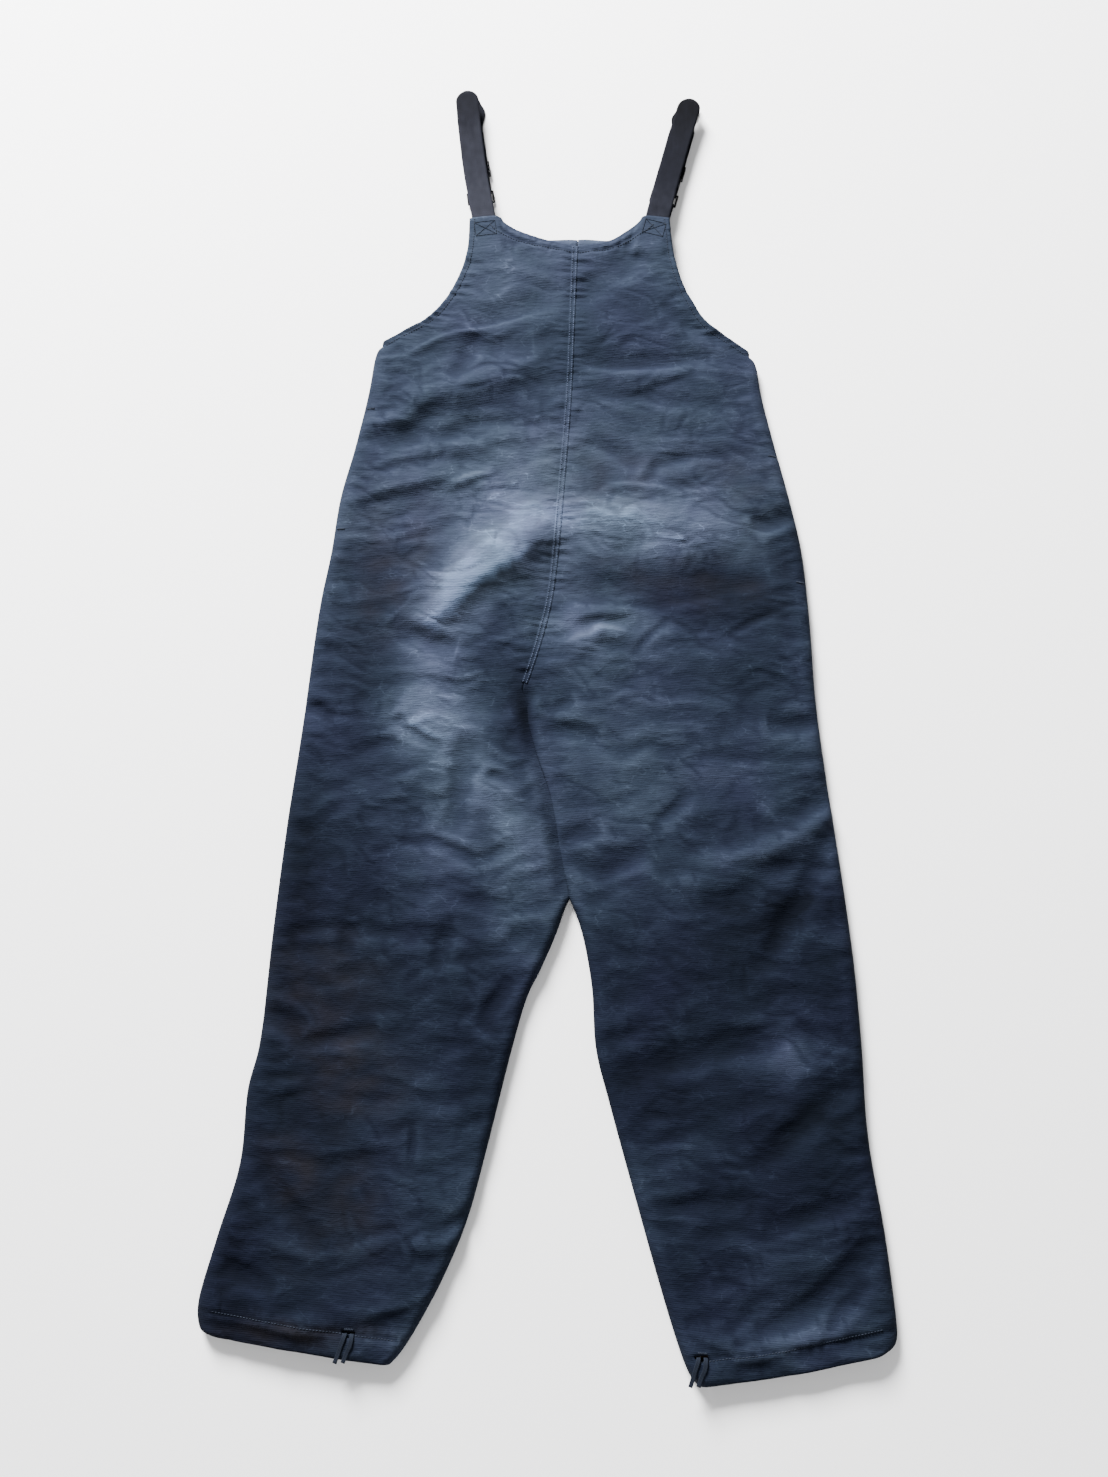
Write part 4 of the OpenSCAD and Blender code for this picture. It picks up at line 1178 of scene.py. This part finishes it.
# ---- Front zip ----
def zip_layer(node, name, mat, columns=10, ripple=0.12):
    """A long narrow cloth part of the zip, between the levels of its CAD node."""
    low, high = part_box(node)
    (x0, y0, z0), (x1, y1, z1) = ((np.array(p) - ORIGIN) / MM for p in (low, high))
    y, x = np.meshgrid(np.linspace(y0, y1, 150), np.linspace(x0, x1, columns), indexing="ij")
    waver = 0.5 * noise(y / 55, 0 * y, 51)
    top = np.dstack([x + waver, y, z1 - ripple + ripple * noise(x / 8, y / 22, 52)])
    under = np.dstack([x + waver, y, np.full_like(x, z0)])
    fixed(thick_sheet(name, top, under, mat, np.dstack([x, y]), plain_layers(x.shape, BASE_FADE)), node)


for name in ("left", "right"):
    zip_layer(f"{name}_fly_facing", f"{name}_fly_edge", FACING)
    zip_layer(f"{name}_zip_tape", f"{name}_zip_webbing", TAPE, 6, 0.05)
zip_layer("wind_flap", "zip_wind_flap", FACING, 14)


# ---- Straps ----
STRAP_W, STRAP_T = 32, 1.6
UPPER_Z, LOWER_Z, LOW_Z, TAIL_Z = 18.1, 3.9, 1.65, 6.15
BAR_LOW, BAR_HIGH = 34, 50
WRAP_R, LOOP_R = 2.25, 8.225
HINGE_Z = 9.875
SEWN, TAIL_END = 45, 150
LOOP_L = {LEFT: 204, RIGHT: 196}
SAG = {LEFT: 1.6, RIGHT: 2.2}                    # how far the top run of a strap hangs between its ends
BOW = {LEFT: 3.0, RIGHT: 1.5}                    # how far it curves sideways
LOWER_SHIFT = {LEFT: 7, RIGHT: -5}               # how far the lower run lies to one side near the tip
STRAP_TONE = {LEFT: 0.55, RIGHT: 0.22}
TOP_N, TIP_N = 90, 24                            # points along the top run and round the tip


def arc(y, z, r, start, end, count):
    t = np.radians(np.linspace(start, end, count))
    return np.stack([y + r * np.cos(t), z + r * np.sin(t)], 1)


def strap_path(half):
    """The strap's route as (across, along, up), from its sewn end round its loop to its free tail."""
    end = LOOP_L[half] - LOOP_R - STRAP_T / 2
    y = np.linspace(-SEWN, end, TOP_N)
    hang = np.sin(math.pi * np.clip(y / end, 0, 1))
    dip = -SAG[half] * hang**2 + 0.35 * np.sin(y / 17 + half)
    upper = np.stack([y, UPPER_Z + dip * smoothstep(0, 24, y) * (1 - smoothstep(end - 22, end, y))], 1)
    loop = arc(end, HINGE_Z, LOOP_R, 90, -90, TIP_N)
    lower = np.stack([np.linspace(end, BAR_HIGH, 60), np.full(60, LOW_Z)], 1)
    wrap = arc(BAR_HIGH, LOWER_Z, WRAP_R, -90, -270, 16)
    tail = np.stack([np.linspace(BAR_HIGH, TAIL_END, 44), np.full(44, TAIL_Z)], 1)
    yz = np.vstack([upper, loop[1:-1], lower, wrap[1:-1], tail])
    x = np.zeros(len(yz))
    shift, after = LOWER_SHIFT[half], np.arange(len(yz)) > TOP_N + 10
    bend = 1 - 0.75 * smoothstep(end - 18, end - 2, yz[:, 0])
    x += after * shift * smoothstep(150, end - 18, yz[:, 0]) * bend
    x[TOP_N:TOP_N + TIP_N - 2] = np.linspace(0, shift * 0.25, TIP_N - 2)
    x[:TOP_N] -= BOW[half] * hang
    return np.column_stack([x, yz])


def strap_mesh(half, name, path, tone):
    route = evenly(path, int(distances(path)[-1] / 1.1))
    y, z = route[:, 1:].T
    tip = LOOP_L[half]
    slant = y + 0.87 * np.maximum(z - HINGE_Z, 0)    # along the strap, as the camera sees its top
    t = np.clip((slant - (tip - LOOP_R - STRAP_T / 2) + 5.1) / 16, 0, 1)
    width = (STRAP_W - 0.5) * np.sqrt(1 - 0.985 * t**2)
    rib = 1 + 0.05 * np.sin(distances(route) * 2 * math.pi / 3.3)
    along = strap_space(half, route)
    c, s = math.cos(LEAN[half]), math.sin(LEAN[half])
    across = np.tile((c, s, 0.0), (len(route), 1))
    points, faces, uv = ribbon(along, across, width, STRAP_T * rib[:, None, None], 14)
    points[:, 0] += 0.35 * noise(points[:, 1] / 23, points[:, 2] / 40, 61)
    fade_and_shade = tone + 0.25 * (1 - smoothstep(0, 90, y)) - 0.4 * smoothstep(tip - 90, tip - 10, y)
    per_ring = len(points) // len(route)
    fade_and_shade = np.repeat(fade_and_shade, per_ring) + 0.10 * noise(uv[:, 1] / 11, uv[:, 0] / 8, 62)
    return mesh_object(name, points, faces, WEBBING, uv, {"fade_and_shade": fade_and_shade})


for half, name in NAME.items():
    strap = strap_mesh(half, f"{name}_strap_webbing", strap_path(half), STRAP_TONE[half])
    y = np.linspace(-SEWN, BAR_LOW, 50)
    under = np.stack([0 * y, y, LOWER_Z + (LOW_Z - LOWER_Z) * smoothstep(3, 24, y)], 1)
    wrap = arc(BAR_LOW, LOWER_Z, WRAP_R, -90, 90, 16)
    over = np.stack([np.zeros(12), np.linspace(BAR_LOW, 21, 12), np.full(12, TAIL_Z)], 1)
    tab_path = np.vstack([under, np.column_stack([np.zeros(14), wrap[1:-1]]), over])
    tab = strap_mesh(half, f"{name}_tab_webbing", tab_path, STRAP_TONE[half] - 0.1)
    for piece, parts in ((strap, ("strap_anchor", "strap")), (tab, ("front_tab", "tab_loop"))):
        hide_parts(*[f"{name}_{part}" for part in parts])
        start, end = strap_space(half, [(0, 2, HINGE_Z), (0, 20, HINGE_Z)])
        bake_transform(piece)


# ---- Metal parts ----
METAL_NODES = (
    (BRASS, ("left_zip_teeth", "right_zip_teeth", "zip_slider", "zip_pull", "top_stops", "bottom_stop")),
    (STEEL, ("left_ring", "right_ring", "left_slide", "right_slide")),
)
for metal, names in METAL_NODES:
    for node in names:
        nodes[node].data.materials.clear()
        nodes[node].data.materials.append(metal)

# ---- Floor and light ----
PAPER, ROOM_LIGHT, FLOOR = (0.93, 0.93, 0.94, 1), 0.5, 30
floor_mesh = bpy.data.meshes.new("floor")
floor_mesh.from_pydata([(-FLOOR, -FLOOR, 0), (FLOOR, -FLOOR, 0), (FLOOR, FLOOR, 0), (-FLOOR, FLOOR, 0)], [],
                       [(0, 1, 2, 3)])
floor = bpy.data.objects.new("floor", floor_mesh)
bpy.context.scene.collection.objects.link(floor)
paper = bpy.data.materials.new("paper")
paper.use_nodes = True
paper_shader = paper.node_tree.nodes["Principled BSDF"]
paper_shader.inputs["Base Color"].default_value = PAPER
paper_shader.inputs["Roughness"].default_value = 0.9
floor_mesh.materials.append(paper)


def lamp(name, at, aim, size, power):
    light = bpy.data.lights.new(name, "AREA")
    light.size, light.energy = size, power
    obj = bpy.data.objects.new(name, light)
    bpy.context.scene.collection.objects.link(obj)
    obj.location = at
    obj.rotation_euler = (Vector(aim) - Vector(at)).to_track_quat("-Z", "Y").to_euler()


lamp("key", (-1.9, 3.6, 2.3), (0, 0, 0), 1.6, 1750)
lamp("fill", (0.6, -2.4, 2.6), (0, 0, 0), 2.5, 30)
world = bpy.data.worlds.new("room")
world.use_nodes = True
background = world.node_tree.nodes["Background"].inputs
background["Color"].default_value = (1, 1, 1, 1)
background["Strength"].default_value = ROOM_LIGHT
bpy.context.scene.world = world
